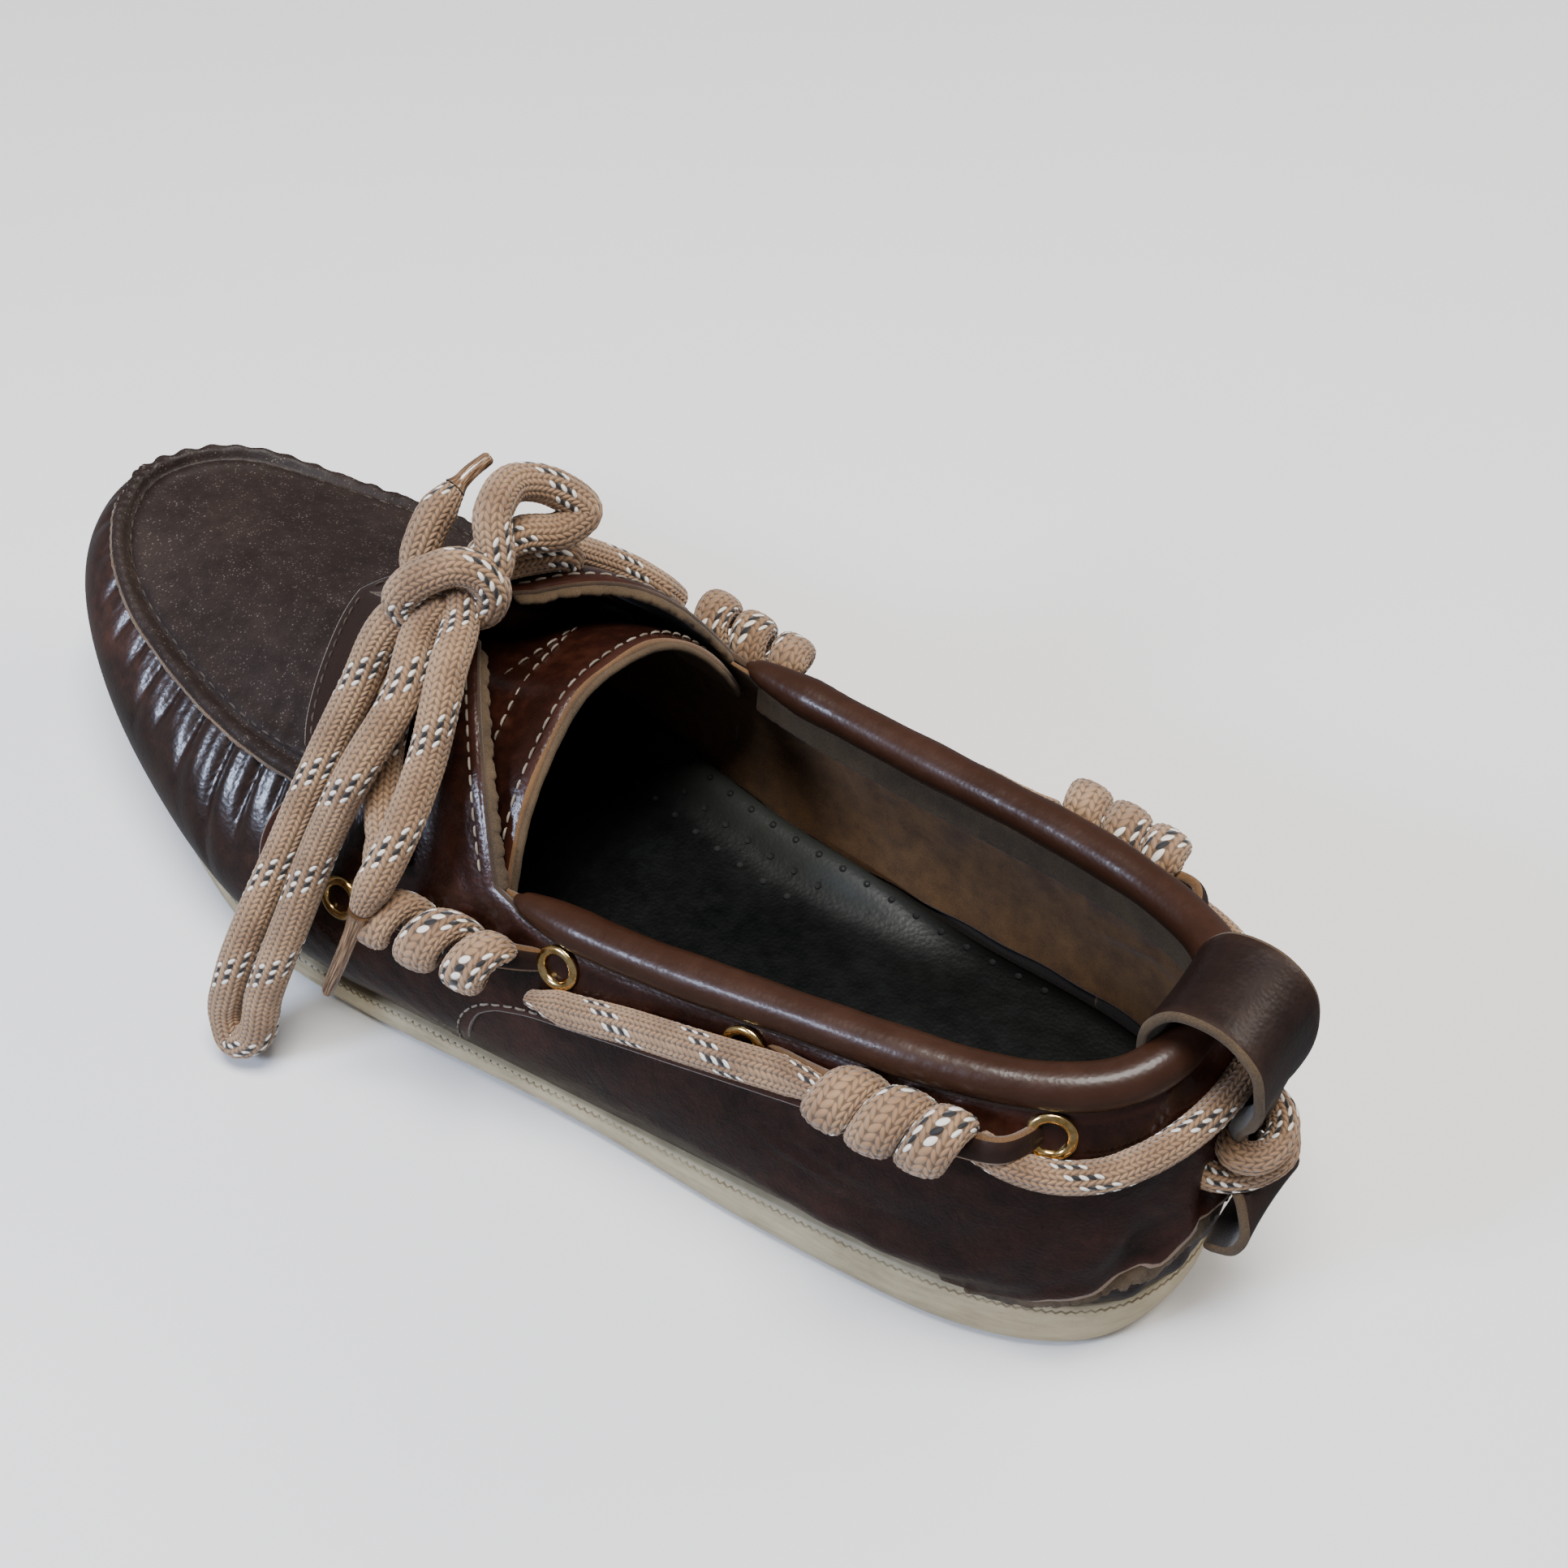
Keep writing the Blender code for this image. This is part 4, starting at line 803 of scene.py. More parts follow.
vampLeather = pullUpLeather("waxedVampLeather", "#150b08", "#24140e", "#402418", 0.34, coat=0.45, grain=0.18,
                            wrinkle=0.08, specular=0.42)
# the apron's speckle is painted glint
apronLeather = pullUpLeather("pebbledApronLeather", "#1a110e", "#221814", "#2e211b", 0.55, grainMm=0.7,
                             grain=0.2, coat=0.03, paintedGlint=0.55, wrinkle=0.03, specular=0.3)
saddleLeather = pullUpLeather("polishedSaddleLeather", "#150906", "#24100a", "#3f2015", 0.28, coat=0.32,
                              grain=0.18, wrinkle=0.12, specular=0.30, other="#221814")
rollLeather = pullUpLeather("collarLeather", "#150a06", "#22120b", "#3a2216", 0.36, coat=0.20, grain=0.12,
                            wrinkle=0.035, specular=0.26)
foxingLeather = pullUpLeather("heelLeather", "#170b08", "#28130d", "#3d2017", 0.36, coat=0.30, grain=0.3,
                              wrinkle=0.42, specular=0.30)
strapLeather = pullUpLeather("strapLeather", "#160c09", "#1f130f", "#2e1e17", 0.42, coat=0.08, grain=0.2,
                             wrinkle=0.05, specular=0.22)
# the insole's other tone #3b3d3a is painted sheen along its turned-up inner edge
sockLeather = pullUpLeather("sockLeather", "#030505", "#050807", "#0a0f0e", 0.38, coat=0.12, grain=0.14,
                            wrinkle=0.05, specular=0.27, other="#3b3d3a")
rawEdge = suedeFinish("cutLeatherEdge", "#3c2615", "#75542f")
fleshEdge = suedeFinish("tornFlesh", "#2a2015", "#5c4932", sheen=0.05)
lipEdge = suedeFinish("apronCutEdge", "#2b1c12", "#6f5438")
darkEdge = suedeFinish("stainedLeatherEdge", "#1b110b", "#4a3522")
liningSuede = suedeFinish("suedeLining", "#452c17", "#76532d", patchMm=5, sheen=0.08)
darkLining = suedeFinish("darkLining", "#0e0907", "#1c1410")
ropeBraid = braidFinish("tanBraidedRope", "#9c7a59", "#7d5e42", "#e2dcd2", "#131112")
soleRubber = rubberFinish("creamRubber")
gold = goldFinish("goldBrass")
greyThread = threadFinish("greyThread", "#8a8073", "#5d5347")
darkThread = threadFinish("darkThread", "#433932", "#241d19")
# painted shade: near-black fill for the punched holes, standing for the shade down each hole
punched = threadFinish("paintedHoleShade", "#050606", "#020303")
soleRib = threadFinish("soleRib", "#a4977b", "#85775c")
clearTip = tipFinish("clearTip")
print("finishes made")


# camera, floor and light

view = {"place": (-50.4, 220.9, 372.9), "azimuth": 123.855, "elevation": 48.119, "roll": 2.312, "lens": 49.81}


def placeAt(made, right, up, back, place):  # own X and Y directions, the way it looks from, and its place
    made.matrix_world = Matrix([*np.stack([right, up, back, place], 1).tolist(), (0, 0, 0, 1)])


def makeCamera():
    az, el, roll = (math.radians(view[k]) for k in ("azimuth", "elevation", "roll"))
    back = np.array([math.cos(az) * math.cos(el), math.sin(az) * math.cos(el), math.sin(el)])
    right = unit(np.cross(-back, [0.0, 0.0, 1.0]))
    up = np.cross(back, right)
    data = bpy.data.cameras.new("camera")
    data.lens = view["lens"]
    data.sensor_width = 36
    data.clip_start = 0.01
    camera = linked("camera", data)
    level, over = math.cos(roll), math.sin(roll)
    placeAt(camera, right * level + up * over, up * level - right * over, back, toFrame(view["place"]))
    bpy.context.scene.camera = camera


def makeFloor():
    mesh = bpy.data.meshes.new("floor")
    mesh.from_pydata([(-4, -4, 0), (4, -4, 0), (4, 4, 0), (-4, 4, 0)], [], [(0, 1, 2, 3)])
    floor = linked("floor", mesh)
    made, tree, place = newFinish("paleFloor")
    patches = addNode(tree, "TexNoise", {"Scale": 3.0, "Detail": 2.0, "Vector": place}, "Fac")
    tint = addNode(tree, "ValToRGB", {"stops": [(0.3, "#eeeeee"), (0.7, "#f1f1f1")], 0: patches})
    mesh.materials.append(finished(made, {"Base Color": tint, "Roughness": 0.9}))
    floor.visible_glossy = False   # the pale floor stays out of the leather's shine


# soft boxes: name, place, size, watts, tint
lamps = [
    ("skyBox", (-0.10, 0.12, 1.20), (0.60, 0.42), 24.0, "#fbf8f4"),
    ("windowBox", (0.42, 0.86, 0.62), (0.26, 0.20), 11.0, "#cfe0ff"),
    ("backBox", (-0.55, -0.90, 0.65), (0.60, 0.40), 7.0, "#fff4e8"),
]


def makeLights():
    for name, place, size, power, tint in lamps:
        data = bpy.data.lights.new(name, "AREA")
        data.shape = "RECTANGLE"
        data.size, data.size_y = size
        data.energy = power
        data.color = shade(tint)[:3]
        back = unit(np.array(place))
        right = unit(np.cross([0.0, 0.0, 1.0], back) + [1e-6, 0, 0])
        placeAt(linked(name, data), right, np.cross(back, right), back, place)
    world = bpy.data.worlds.new("softRoom")
    world.use_nodes = True
    sky = world.node_tree.nodes["Background"]
    sky.inputs["Color"].default_value = (0.90, 0.93, 1.0, 1.0)
    sky.inputs["Strength"].default_value = 0.22
    bpy.context.scene.world = world


makeCamera()
makeFloor()
makeLights()
print("camera and light set")


# bow: the free cords

bow = {"diameter": 7.4, "knot": (169.5, 8.6, 91.2)}
# directions of the knot's own face: across it, up it, and out of it
knotAcross = np.array([-0.83, -0.557, 0.0])
knotUp = np.array([0.415, -0.618, 0.667])
knotOut = np.array([-0.372, 0.554, 0.745])
# the rope that makes the knot, as across, up and out: over the bundle in two lobes, then up behind it
knotWrap = [
    (3.6, -4.2, -3.4),
    (7.0, -3.2, 0.2),
    (8.2, -0.2, 3.2),
    (6.0, 2.6, 5.6),
    (1.8, 3.4, 7.0),
    (-2.8, 1.9, 6.9),
    (-6.9, -0.4, 5.2),
    (-8.8, -3.0, 2.0),
    (-6.4, -5.2, -1.2),
    (-3.2, -3.6, -4.4),
    (-3.8, 0.6, -4.0),
]
loopOuter = [
    (176.8, 17.8, 85.4),
    (178.8, 27.0, 73.6),
    (180.4, 37.2, 61.0),
    (181.2, 50.8, 45.0),
    (182.0, 60.5, 33.4),
    (183.6, 67.6, 20.4),
    (184.4, 70.2, 10.6),
    (181.6, 71.6, 5.8),
    (177.8, 70.4, 8.6),
    (175.6, 66.4, 21.0),
    (172.4, 57.6, 39.4),
    (170.6, 48.0, 55.4),
    (167.0, 40.0, 70.2),
    (165.8, 28.4, 80.0),
    (169.8, 15.6, 87.4),
]
loopInner = [
    (163.3, 3.9, 95.3),
    (166.6, -2.0, 104.8),
    (168.2, -8.2, 105.6),
    (163.6, -16.8, 101.2),
    (159.6, -19.2, 96.2),
    (160.8, -13.8, 94.6),
    (165.4, -7.0, 95.6),
    (167.2, -1.6, 95.2),
]
endOuter = [
    (164.2, 12.2, 88.2),
    (160.0, 21.0, 85.0),
    (156.2, 33.0, 72.4),
    (153.6, 46.4, 62.4),
    (154.6, 56.8, 51.8),
]
tipOuter = [(154.4, 56.2, 52.6), (157.0, 58.6, 43.0), (163.4, 60.6, 25.0)]
# the front end and its tip, in the knot's own directions
endFront = [(-6.3, 4.6, -1.6), (-5.0, 9.6, 0.6), (-2.6, 14.6, 1.2), (0.6, 19.4, 0.6)]
tipFront = [(0.2, 18.8, 0.7), (3.0, 22.2, -0.2), (6.2, 25.2, -1.6)]


def fromKnot(points):  # places given as across, up and out from the knot's middle
    return np.array(bow["knot"]) + np.asarray(points, float) @ np.stack([knotAcross, knotUp, knotOut])


def makeTip(name, route, node):  # film sleeve drawn over the rope's end, wide where the rope goes in
    path = openSpline(route, count=24)
    t = np.linspace(0, 1, 24)
    radius = np.interp(t, [0, 0.10, 0.20, 0.95, 1.0], [2.3, 1.85, 1.6, 1.35, 1.05])
    side, up = carryFrames(path)
    turn = np.linspace(0, 1, 25)
    angle = (turn * 2 * math.pi)[:, None]
    ring = side[:, None] * np.cos(angle) + up[:, None] * np.sin(angle)
    grid = path[:, None] + ring * radius[:, None, None]
    return putTube(name, grid, path[[0, -1]], turn, t, (0.0, 0.0), clearTip, (node,))


# One cord of the bow: its stations, even steps along them, where the braid begins, what is on its far
# end and how it lies. It is drawn in past its neck where it goes into a tip.
def makeCord(name, stations, count, begin, nodes, tips=(), neck=1.0):
    thick = bow["diameter"]
    if tips:
        thick = thick * np.interp(np.linspace(0, 1, count), [0, neck, 1.0], [1.0, 1.0, 0.52])
    cord, path = ropePiece(name, openSpline(stations, count), thick, thick, begin=begin, nodes=nodes)
    toFrame(path[0])
    travel(path)[-1] * 0.001
    toFrame(path[::4] if len(path) > 60 else path)


def makeBow():  # every strand starts and ends inside the knot
    route = np.concatenate([fromKnot([(-3.2, -1.2, 0.6)]), loopOuter, fromKnot([(-0.4, -1.6, 1.4)])])
    makeCord("bowLoopOuter", route, 120, 3.0, ("bow_loop_outer",))
    route = np.concatenate([fromKnot([(1.2, 0.4, 1.2)]), loopInner, fromKnot([(2.6, 1.0, -1.6)])])
    makeCord("bowLoopInner", route, 90, 130.0, ("bow_loop_inner",))
    tip = makeTip("laceTipOuter", tipOuter, "lace_tip_outer")
    route = np.concatenate([fromKnot([(2.4, 0.0, 1.6)]), endOuter])
    makeCord("laceEndOuter", route, 60, 241.0, ("lace_end_outer",),
             [tip], 0.91)
    tip = makeTip("laceTipFront", fromKnot(tipFront), "lace_tip_front")
    makeCord("laceKnotAndFrontEnd", fromKnot(knotWrap + endFront), 140, 402.0,
             ("lace_knot", "lace_end_front"), [tip], 0.92)


makeBow()
print("bow tied")


# sole

sole = {"rest": (9.0, 96.0), "ball": (168.0, 222.0), "arch": 1.6, "toeRise": 11.0, "sipeGap": 5.2,
        "sipeDepth": 0.9}
# edge of the sole from the tread up: stand-out, how much of the side's swell it takes, share of the height
soleEdge = [
    (-7.0, 0.0, 0.0),
    (-3.4, 0.5, 0.0),
    (-1.9, 1.0, 0.05),
    (-0.8, 1.0, 0.15),
    (-0.2, 1.0, 0.30),
    (0.0, 1.0, 0.46),
    (0.0, 1.0, 0.60),
    (0.0, 0.9, 0.72),
    (0.2, 0.7, 0.84),
    (0.55, 0.55, 0.90),
    (0.6, 0.5, 0.95),
    (0.3, 0.4, 0.985),
    (-0.4, 0.3, 1.0),
    (-2.0, 0.1, 1.0),
    (-5.0, 0.0, 1.0),
]
# run, swell of the side in millimetres
soleSwell = [(0.0, 1.3), (0.1, 1.5), (0.2, 2.4), (0.3, 3.2), (0.4, 2.3), (0.5, 2.6), (0.65, 2.4), (1.0, 1.3)]


def soleBottom(x):
    arch = np.clip((x - sole["rest"][1]) / (sole["ball"][0] - sole["rest"][1]), 0, 1)
    spring = np.clip((x - sole["ball"][1]) / (toePoint[0] - sole["ball"][1]), 0, 1)
    heel = np.clip((sole["rest"][0] - x) / sole["rest"][0], 0, 1)
    return sole["arch"] * np.sin(math.pi * arch)**2 + sole["toeRise"] * spring**1.7 + 1.2 * heel**2


def footTop(run, side):  # top of the sole under the upper's edge
    plan, out = planAt(run, side)
    return tableAt(wallTable, run) + tableAt(toeSpring, plan[..., 0])


def makeOutsole():
    run = np.linspace(0, 1, 240)
    row = np.arange(len(soleEdge))
    still, swell, share = readOff(np.linspace(0, row[-1], 43), row, np.array(soleEdge)).T
    reach = still + swell * tableAt(soleSwell, run)[:, None]
    edges = []
    for side in (1, -1):
        plan, out = planAt(run, side)
        at = plan[:, None] + out[:, None] * reach[..., None]
        z = soleBottom(at[..., 0]) * (1 - share) + footTop(run, side)[:, None] * share
        edges.append(np.concatenate([at, z[..., None]], -1))
    outer, inner = edges
    across = np.linspace(0, 1, 44)[:, None]
    tread, bed = (outer[:, k, None] * (1 - across) + inner[:, k, None] * across for k in (0, -1))
    # razor sipes: shallow wavy cuts across the tread, none at its rim
    wave = tread[..., 0] + 1.6 * np.sin(tread[..., 1] * 2 * math.pi / 9)
    cut = np.exp(-(((wave / sole["sipeGap"]) % 1.0 - 0.5) / 0.09)**2)
    clear = smoothStep(0.02, 0.05, across[:, 0]) * (1 - smoothStep(0.95, 0.98, across[:, 0]))
    tread[..., 2] = soleBottom(tread[..., 0]) + sole["sipeDepth"] * cut * clear
    points, quads, uv = welded([outer, inner[:, ::-1], tread, bed])
    putOutward("outsole_rubber", points, quads, uv, [soleRubber], ("outsole",))


def makeSoleRib():  # fine zigzag rib moulded along the top edge of the sole
    run = np.linspace(0, 1, 371)
    rings = []
    for side in (1, -1):
        plan, out = planAt(run, side)
        at = plan + out * (0.62 + 0.52 * tableAt(soleSwell, run))[:, None]
        height = soleBottom(at[:, 0]) * 0.09 + footTop(run, side) * 0.91 + 0.45 * (-1.0)**np.arange(len(run))
        middle = np.column_stack([at, height])
        out = np.column_stack([out, 0 * run])
        over = unit(np.cross(unit(np.gradient(middle, axis=0)), out)) * side
        rings.append(middle[:, None] + np.stack([over * 0.24, out * 0.30, -over * 0.24, -out * 0.30], 1))
    points = np.concatenate([rings[0][:-1], rings[1][::-1][:-1]])
    quads = wrapRings(*points.shape[:2], closed=True)
    points = points.reshape(-1, 3)
    putOutward("outsole_rib", points, quads, points[:, :2], [soleRib], ())


makeOutsole()
makeSoleRib()
print("sole made")


# insole, lining

insole = {"thickness": 3.0, "inset": 3.7, "hole": 0.80, "holeGap": 6.0, "turn": 4.6}


def insoleTurn(points):  # the waist of the insole climbs the inner wall
    run = np.linspace(0.08, 0.75, 200)
    plan, out = planAt(run, -1)
    edge = plan - out * insole["inset"]
    inward = points[:, 1] - np.interp(points[:, 0], edge[:, 0], edge[:, 1])
    along = smoothStep(62, 108, points[:, 0]) * (1 - smoothStep(150, 200, points[:, 0]))
    return insole["turn"] * along * np.exp(-(np.maximum(inward, 0) / 6.5)**2)


def makeInsole():
    run = np.linspace(0, 1, 150)
    edge = []
    for side in (1, -1):
        plan, out = planAt(run, side)
        height = footTop(run, side) + 0.45 + insole["thickness"]
        edge.append(np.column_stack([plan - out * insole["inset"], height])[:, None])
    across = np.linspace(0, 1, 60)[:, None]
    top = edge[0] * (1 - across) + edge[1] * across
    top[..., 2] += insoleTurn(top.reshape(-1, 3)).reshape(top.shape[:2])

    def worn(points, distance):  # pressed by heel and ball, turned up at its edge
        heel = np.exp(-(((points[:, 0] - 38) / 30)**2 + ((points[:, 1] - 1) / 20)**2))
        return -0.9 * heel + 0.7 * np.exp(-(distance / 5)**2)

    def toneWeight(points):  # painted sheen: lighter where it turns up, standing for the light its raised edge catches
        return 0.75 * insoleTurn(points) / insole["turn"]

    leatherPiece("sock", [top], insole["thickness"] - 0.3, [sockLeather, sockLeather, darkLining], skyward,
                 worn, ("insole",), tone=toneWeight)


def makeInsoleHoles():  # rows of punched holes along the inner waist, each a small dished ring of eight, filled near-black as painted shade
    runs = np.linspace(0.22, 0.60, int(0.38 * outerLength / insole["holeGap"]))
    spots = []
    for row, inward in enumerate((1.6, 6.6, 12.0)):
        plan, out = planAt(runs + 0.008 * (row % 2), -1)
        at = plan - out * (insole["inset"] + inward)
        z = footTop(runs, -1) + 0.55 + insole["thickness"] + 0.7 * math.exp(-(inward / 5)**2)
        spots.append(np.column_stack([at, z])[(row == 0) | ((at[:, 0] > 105) & (at[:, 0] < 160))])
    spots = np.concatenate(spots)
    slope = insoleTurn(spots + [0, 0.5, 0]) - insoleTurn(spots - [0, 0.5, 0])
    spots[:, 2] += insoleTurn(spots) + 0.15
    up = unit(np.stack([0 * slope, -slope, 0 * slope + 1], 1))[:, None]
    over = unit(np.stack([0 * slope, 0 * slope + 1, slope], 1))[:, None]
    turn = (np.arange(8) * math.pi / 4)[:, None]
    rim = (over * np.cos(turn) + np.array([1.0, 0, 0]) * np.sin(turn)) * insole["hole"]
    points = np.concatenate([spots[:, None] + rim, spots[:, None] + rim * 0.4 - up * 0.25], 1).reshape(-1, 3)
    ring = np.arange(8)
    after = np.roll(ring, -1)
    quads = np.concatenate([np.stack([after, ring, ring + 8, after + 8], 1),
                            [[11, 10, 9, 8], [15, 12, 11, 8], [15, 14, 13, 12]]])
    faces = (quads + 16 * np.arange(len(spots))[:, None, None]).reshape(-1, 4)
    putPiece("sockHoles", points, faces, [punched])


def makeLining():  # suede flesh side inside the walls, its cut edge standing just under the roll
    level = np.linspace(0, 1, 32)
    half = np.linspace(0.0, 0.64, 130)
    run = np.concatenate([-half[::-1], half[1:]])

    def wall(r, side, use):
        top = np.minimum(rimShare(r, side) + 0.05, 1.0)[:, None]
        share = 0.10 + (top - 0.10) * level
        return offSkin(r[:, None] + 0 * share, side, share, -1.75)

    creases = [
        (0.070, 0.94, 0.120, 0.30, 1.6, 1.0, 2.5, -1),
        (0.045, 0.70, 0.085, 0.20, 1.3, 0.7, -1.5, -1),
        (0.150, 0.85, 0.175, 0.45, 2.2, 0.5, 1.0, -1),
        (0.190, 0.80, 0.215, 0.40, 1.4, 0.8, 2.0, -1),
        (0.250, 0.86, 0.230, 0.52, 1.8, -0.7, 1.5, -1),
        (0.310, 0.78, 0.330, 0.36, 2.6, 0.6, -2.0, -1),
        (0.380, 0.82, 0.360, 0.44, 1.6, -0.6, 1.0, -1),
        (0.110, 0.52, 0.210, 0.46, 1.6, 0.6, 2.0, -1),
    ]

    def folds(points, distance):
        ripple = 0.22 * np.sin(points[:, 0] * 0.31 + 1.4 * np.sin(points[:, 2] * 0.17))
        return creaseRelief(points, creases) + ripple

    leatherPiece("lining", [roundHeel(run, wall)], 0.75, [liningSuede, rawEdge, liningSuede],
                 lambda p: [105, 0, 0] - p * [1, 1, 0], folds)


makeInsole()
makeInsoleHoles()
makeLining()
print("inside made")


# vamp and apron

vamp = {"thickness": 1.3, "pleatGap": 8.6}
# pleats: run, depth of the hollows, their length down from the rim
pleatTable = [
    (0.640, 0.4, 12.0),
    (0.662, 2.3, 27.0),
    (0.720, 2.5, 25.0),
    (0.780, 1.9, 17.0),
    (0.860, 1.2, 11.0),
    (0.940, 1.0, 9.0),
    (1.000, 1.0, 9.0),
]


# One grid from the outer side seam round the toe to the inner one. Its rows climb to the rim and tuck
# under the apron.
def makeVamp():
    half = np.linspace(0.638, 1.0, 176)
    run = np.concatenate([half, half[::-1][1:]])
    side = np.repeat([1.0, -1.0], [176, 175])
    share = np.concatenate([np.linspace(0.0, 0.5, 22), np.linspace(0.5, 1.0, 46)[1:]])
    wall = wallFace(*np.broadcast_arrays(run[:, None], side[:, None], share))
    last = wall[:, -1:]
    inward = unit([215.0, -3.0, 40.0] - last)
    tuck = last + (last - wall[:, -2:-1]) * 0.4
    grid = np.concatenate([wall, tuck + inward * 1.2, tuck + inward * 3.0], 1)
    along = travel(wall[:, -1])
    down = np.linalg.norm(np.diff(grid, axis=1), axis=-1)[:, ::-1]
    below = np.concatenate([np.zeros((len(grid), 1)), np.cumsum(down, 1)], 1)[:, ::-1] - 3.4
    depth = tableAt(pleatTable, run, 1)[:, None]
    reach = tableAt(pleatTable, run, 2)[:, None]
    side = side[:, None]
    # uneven spacing: the phase wanders a little along the rim, and leans down the wall
    phase = along / vamp["pleatGap"] + 0.22 * np.sin(along / 9.0) + 0.15 * np.sin(along / 23.0 + 1.0)
    phase = phase[:, None] + 0.22 * below * side / vamp["pleatGap"]
    part = below / (reach * (1 + 0.22 * np.sin(phase * 2.3 + side * 0.7)))
    hollow = np.abs(np.sin(math.pi * phase))**0.8 - 0.72
    small = 0.22 * (np.abs(np.sin(math.pi * phase * 2.0 + 0.7))**0.8 - 0.6) * smoothStep(0.8, 0.1, part)
    fade = (1 - smoothStep(0.10, 1.0, part)) * smoothStep(-2.6, 0.5, below)
    bulge = 0.5 * smoothStep(0.0, 0.6, below / reach) * (1 - smoothStep(0.8, 1.9, below / reach))
    relief = depth * ((hollow + small) * fade + bulge * 0.5)
    normals = unit(np.cross(np.gradient(grid, axis=0), np.gradient(grid, axis=1)))
    normals *= np.sign(np.einsum("ijk,ijk->ij", normals, grid - [195.0, 0.0, 20.0]).mean())
    leatherPiece("vamp", [grid + normals * relief[..., None]], vamp["thickness"],
                 [vampLeather, rawEdge, darkLining], lambda p: p - [195, 0, 25], nodes=("upper",))


apron = {"rear": 0.628, "thickness": 1.2, "stitchIn": 3.9}
# lip of the apron: distance in from its edge, height
lipTable = [
    (0.0, 1.1),
    (0.7, 1.9),
    (1.6, 2.3),
    (2.6, 1.8),
    (3.4, 0.4),
    (3.9, 0.0),
    (4.5, 0.5),
    (5.6, 0.9),
    (8.0, 0.5),
    (14.0, 0.2),
    (26.0, 0.0),
]


def rimLine(low, count):  # round the toe along the rim, from the outer side to the inner
    half = 1 - (1 - low) * np.cos(np.linspace(0, math.pi / 2, count))
    return rails(np.concatenate([half, half[::-1][1:]]), np.repeat([1.0, -1.0], [count, count - 1]))[3]


def makeApron():
    rim = rimLine(0.60, 300)
    # rows run crosswise from the outer rim over the ridge to the inner rim
    run = apron["rear"] + (1 - apron["rear"]) * (1 - (1 - np.linspace(0, 1, 165))**1.7)
    share = 0.45 * (0.5 - 0.5 * np.cos(np.linspace(0, math.pi, 47))) + 0.55 * np.linspace(0, 1, 47)
    run, share = np.meshgrid(run, share, indexing="ij")
    outer, inner = (instepFace(run, side, share, slit=False) for side in (1.0, -1.0))
    wrinkles = [
        (0.672, 1.30, 0.690, 1.75, 2.2, -0.35, 1.5, 1),
        (0.690, 1.22, 0.715, 1.70, 2.6, -0.30, 1.5, 1),
        (0.668, 1.10, 0.680, 1.35, 1.4, -0.30, -0.8, 1),
        (0.700, 1.95, 0.700, 1.40, 3.0, -0.25, 2.0, -1),
    ]

    def lip(points, distance):
        gap = gapTo(points, rim)
        x, y = points[:, 0], points[:, 1]
        pull = 0.30 * np.sin(y * 0.9 + x * 0.7) + 0.18 * np.sin(y * 2.1 - x * 1.7)
        return tableAt(lipTable, gap) + pull * np.exp(-(gap / 2.6)**2) + creaseRelief(points, wrinkles)

    return leatherPiece("apron", [np.concatenate([outer, inner[:, -2::-1]], 1)], apron["thickness"],
                        [apronLeather, lipEdge, darkLining], skyward, lip, edgeBulge=0.3)


makeVamp()
apronTop = makeApron()   # its finished points, for the stitches to lie on
print("vamp and apron made")


# quarters with the saddle

saddle = {"lift": 1.0, "thickness": 1.6, "heelLift": 1.7}
# front edge of the saddle: share of the skin (0 sole, 1 rim, 2 ridge), run
saddleFront = [
    (0.0, 0.642),
    (0.5, 0.646),
    (0.85, 0.650),
    (1.0, 0.640),
    (1.3, 0.652),
    (1.6, 0.662),
    (2.0, 0.672),
]
# lower edge of the quarter, over the heel leather: run, share of the wall
foxingTop = [
    (0.000, 0.80),
    (0.120, 0.78),
    (0.255, 0.735),
    (0.343, 0.665),
    (0.415, 0.57),
    (0.455, 0.49),
    (0.472, 0.43),
    (0.484, 0.34),
    (0.491, 0.22),
    (0.495, 0.10),
    (0.497, 0.0),
]
# lower edge of the heel leather round the heel, left raw and uneven: run, share of the wall
foxingFoot = [
    (0.0, 0.47),
    (0.025, 0.455),
    (0.050, 0.40),
    (0.075, 0.315),
    (0.100, 0.21),
    (0.125, 0.11),
    (0.150, 0.03),
    (0.165, 0.0),
    (0.5, 0.0),
]


def quarterLift(run, share):  # the heel stands out where the heel leather lies underneath, not at the sole
    above = smoothStep(0.0, 0.26, share)
    return (0.25 + 0.75 * above) * saddle["lift"] + saddle["heelLift"] * (
        smoothStep(0.46, 0.25, run) * smoothStep(1.0, 0.70, share) * above)


def facingBack(share):  # run of the facing's back edge, share 1 at the corner to 2 at the ridge
    return cornerRun - 0.009 * np.sin(math.pi * np.clip(np.asarray(share) - 1, 0, 1))


def sideName(side):
    return "outer" if side > 0 else "inner"


def sewnTogether(first, second):  # the same middle column or row for both halves
    middle = (first + second) / 2
    first[:] = middle
    second[:] = middle


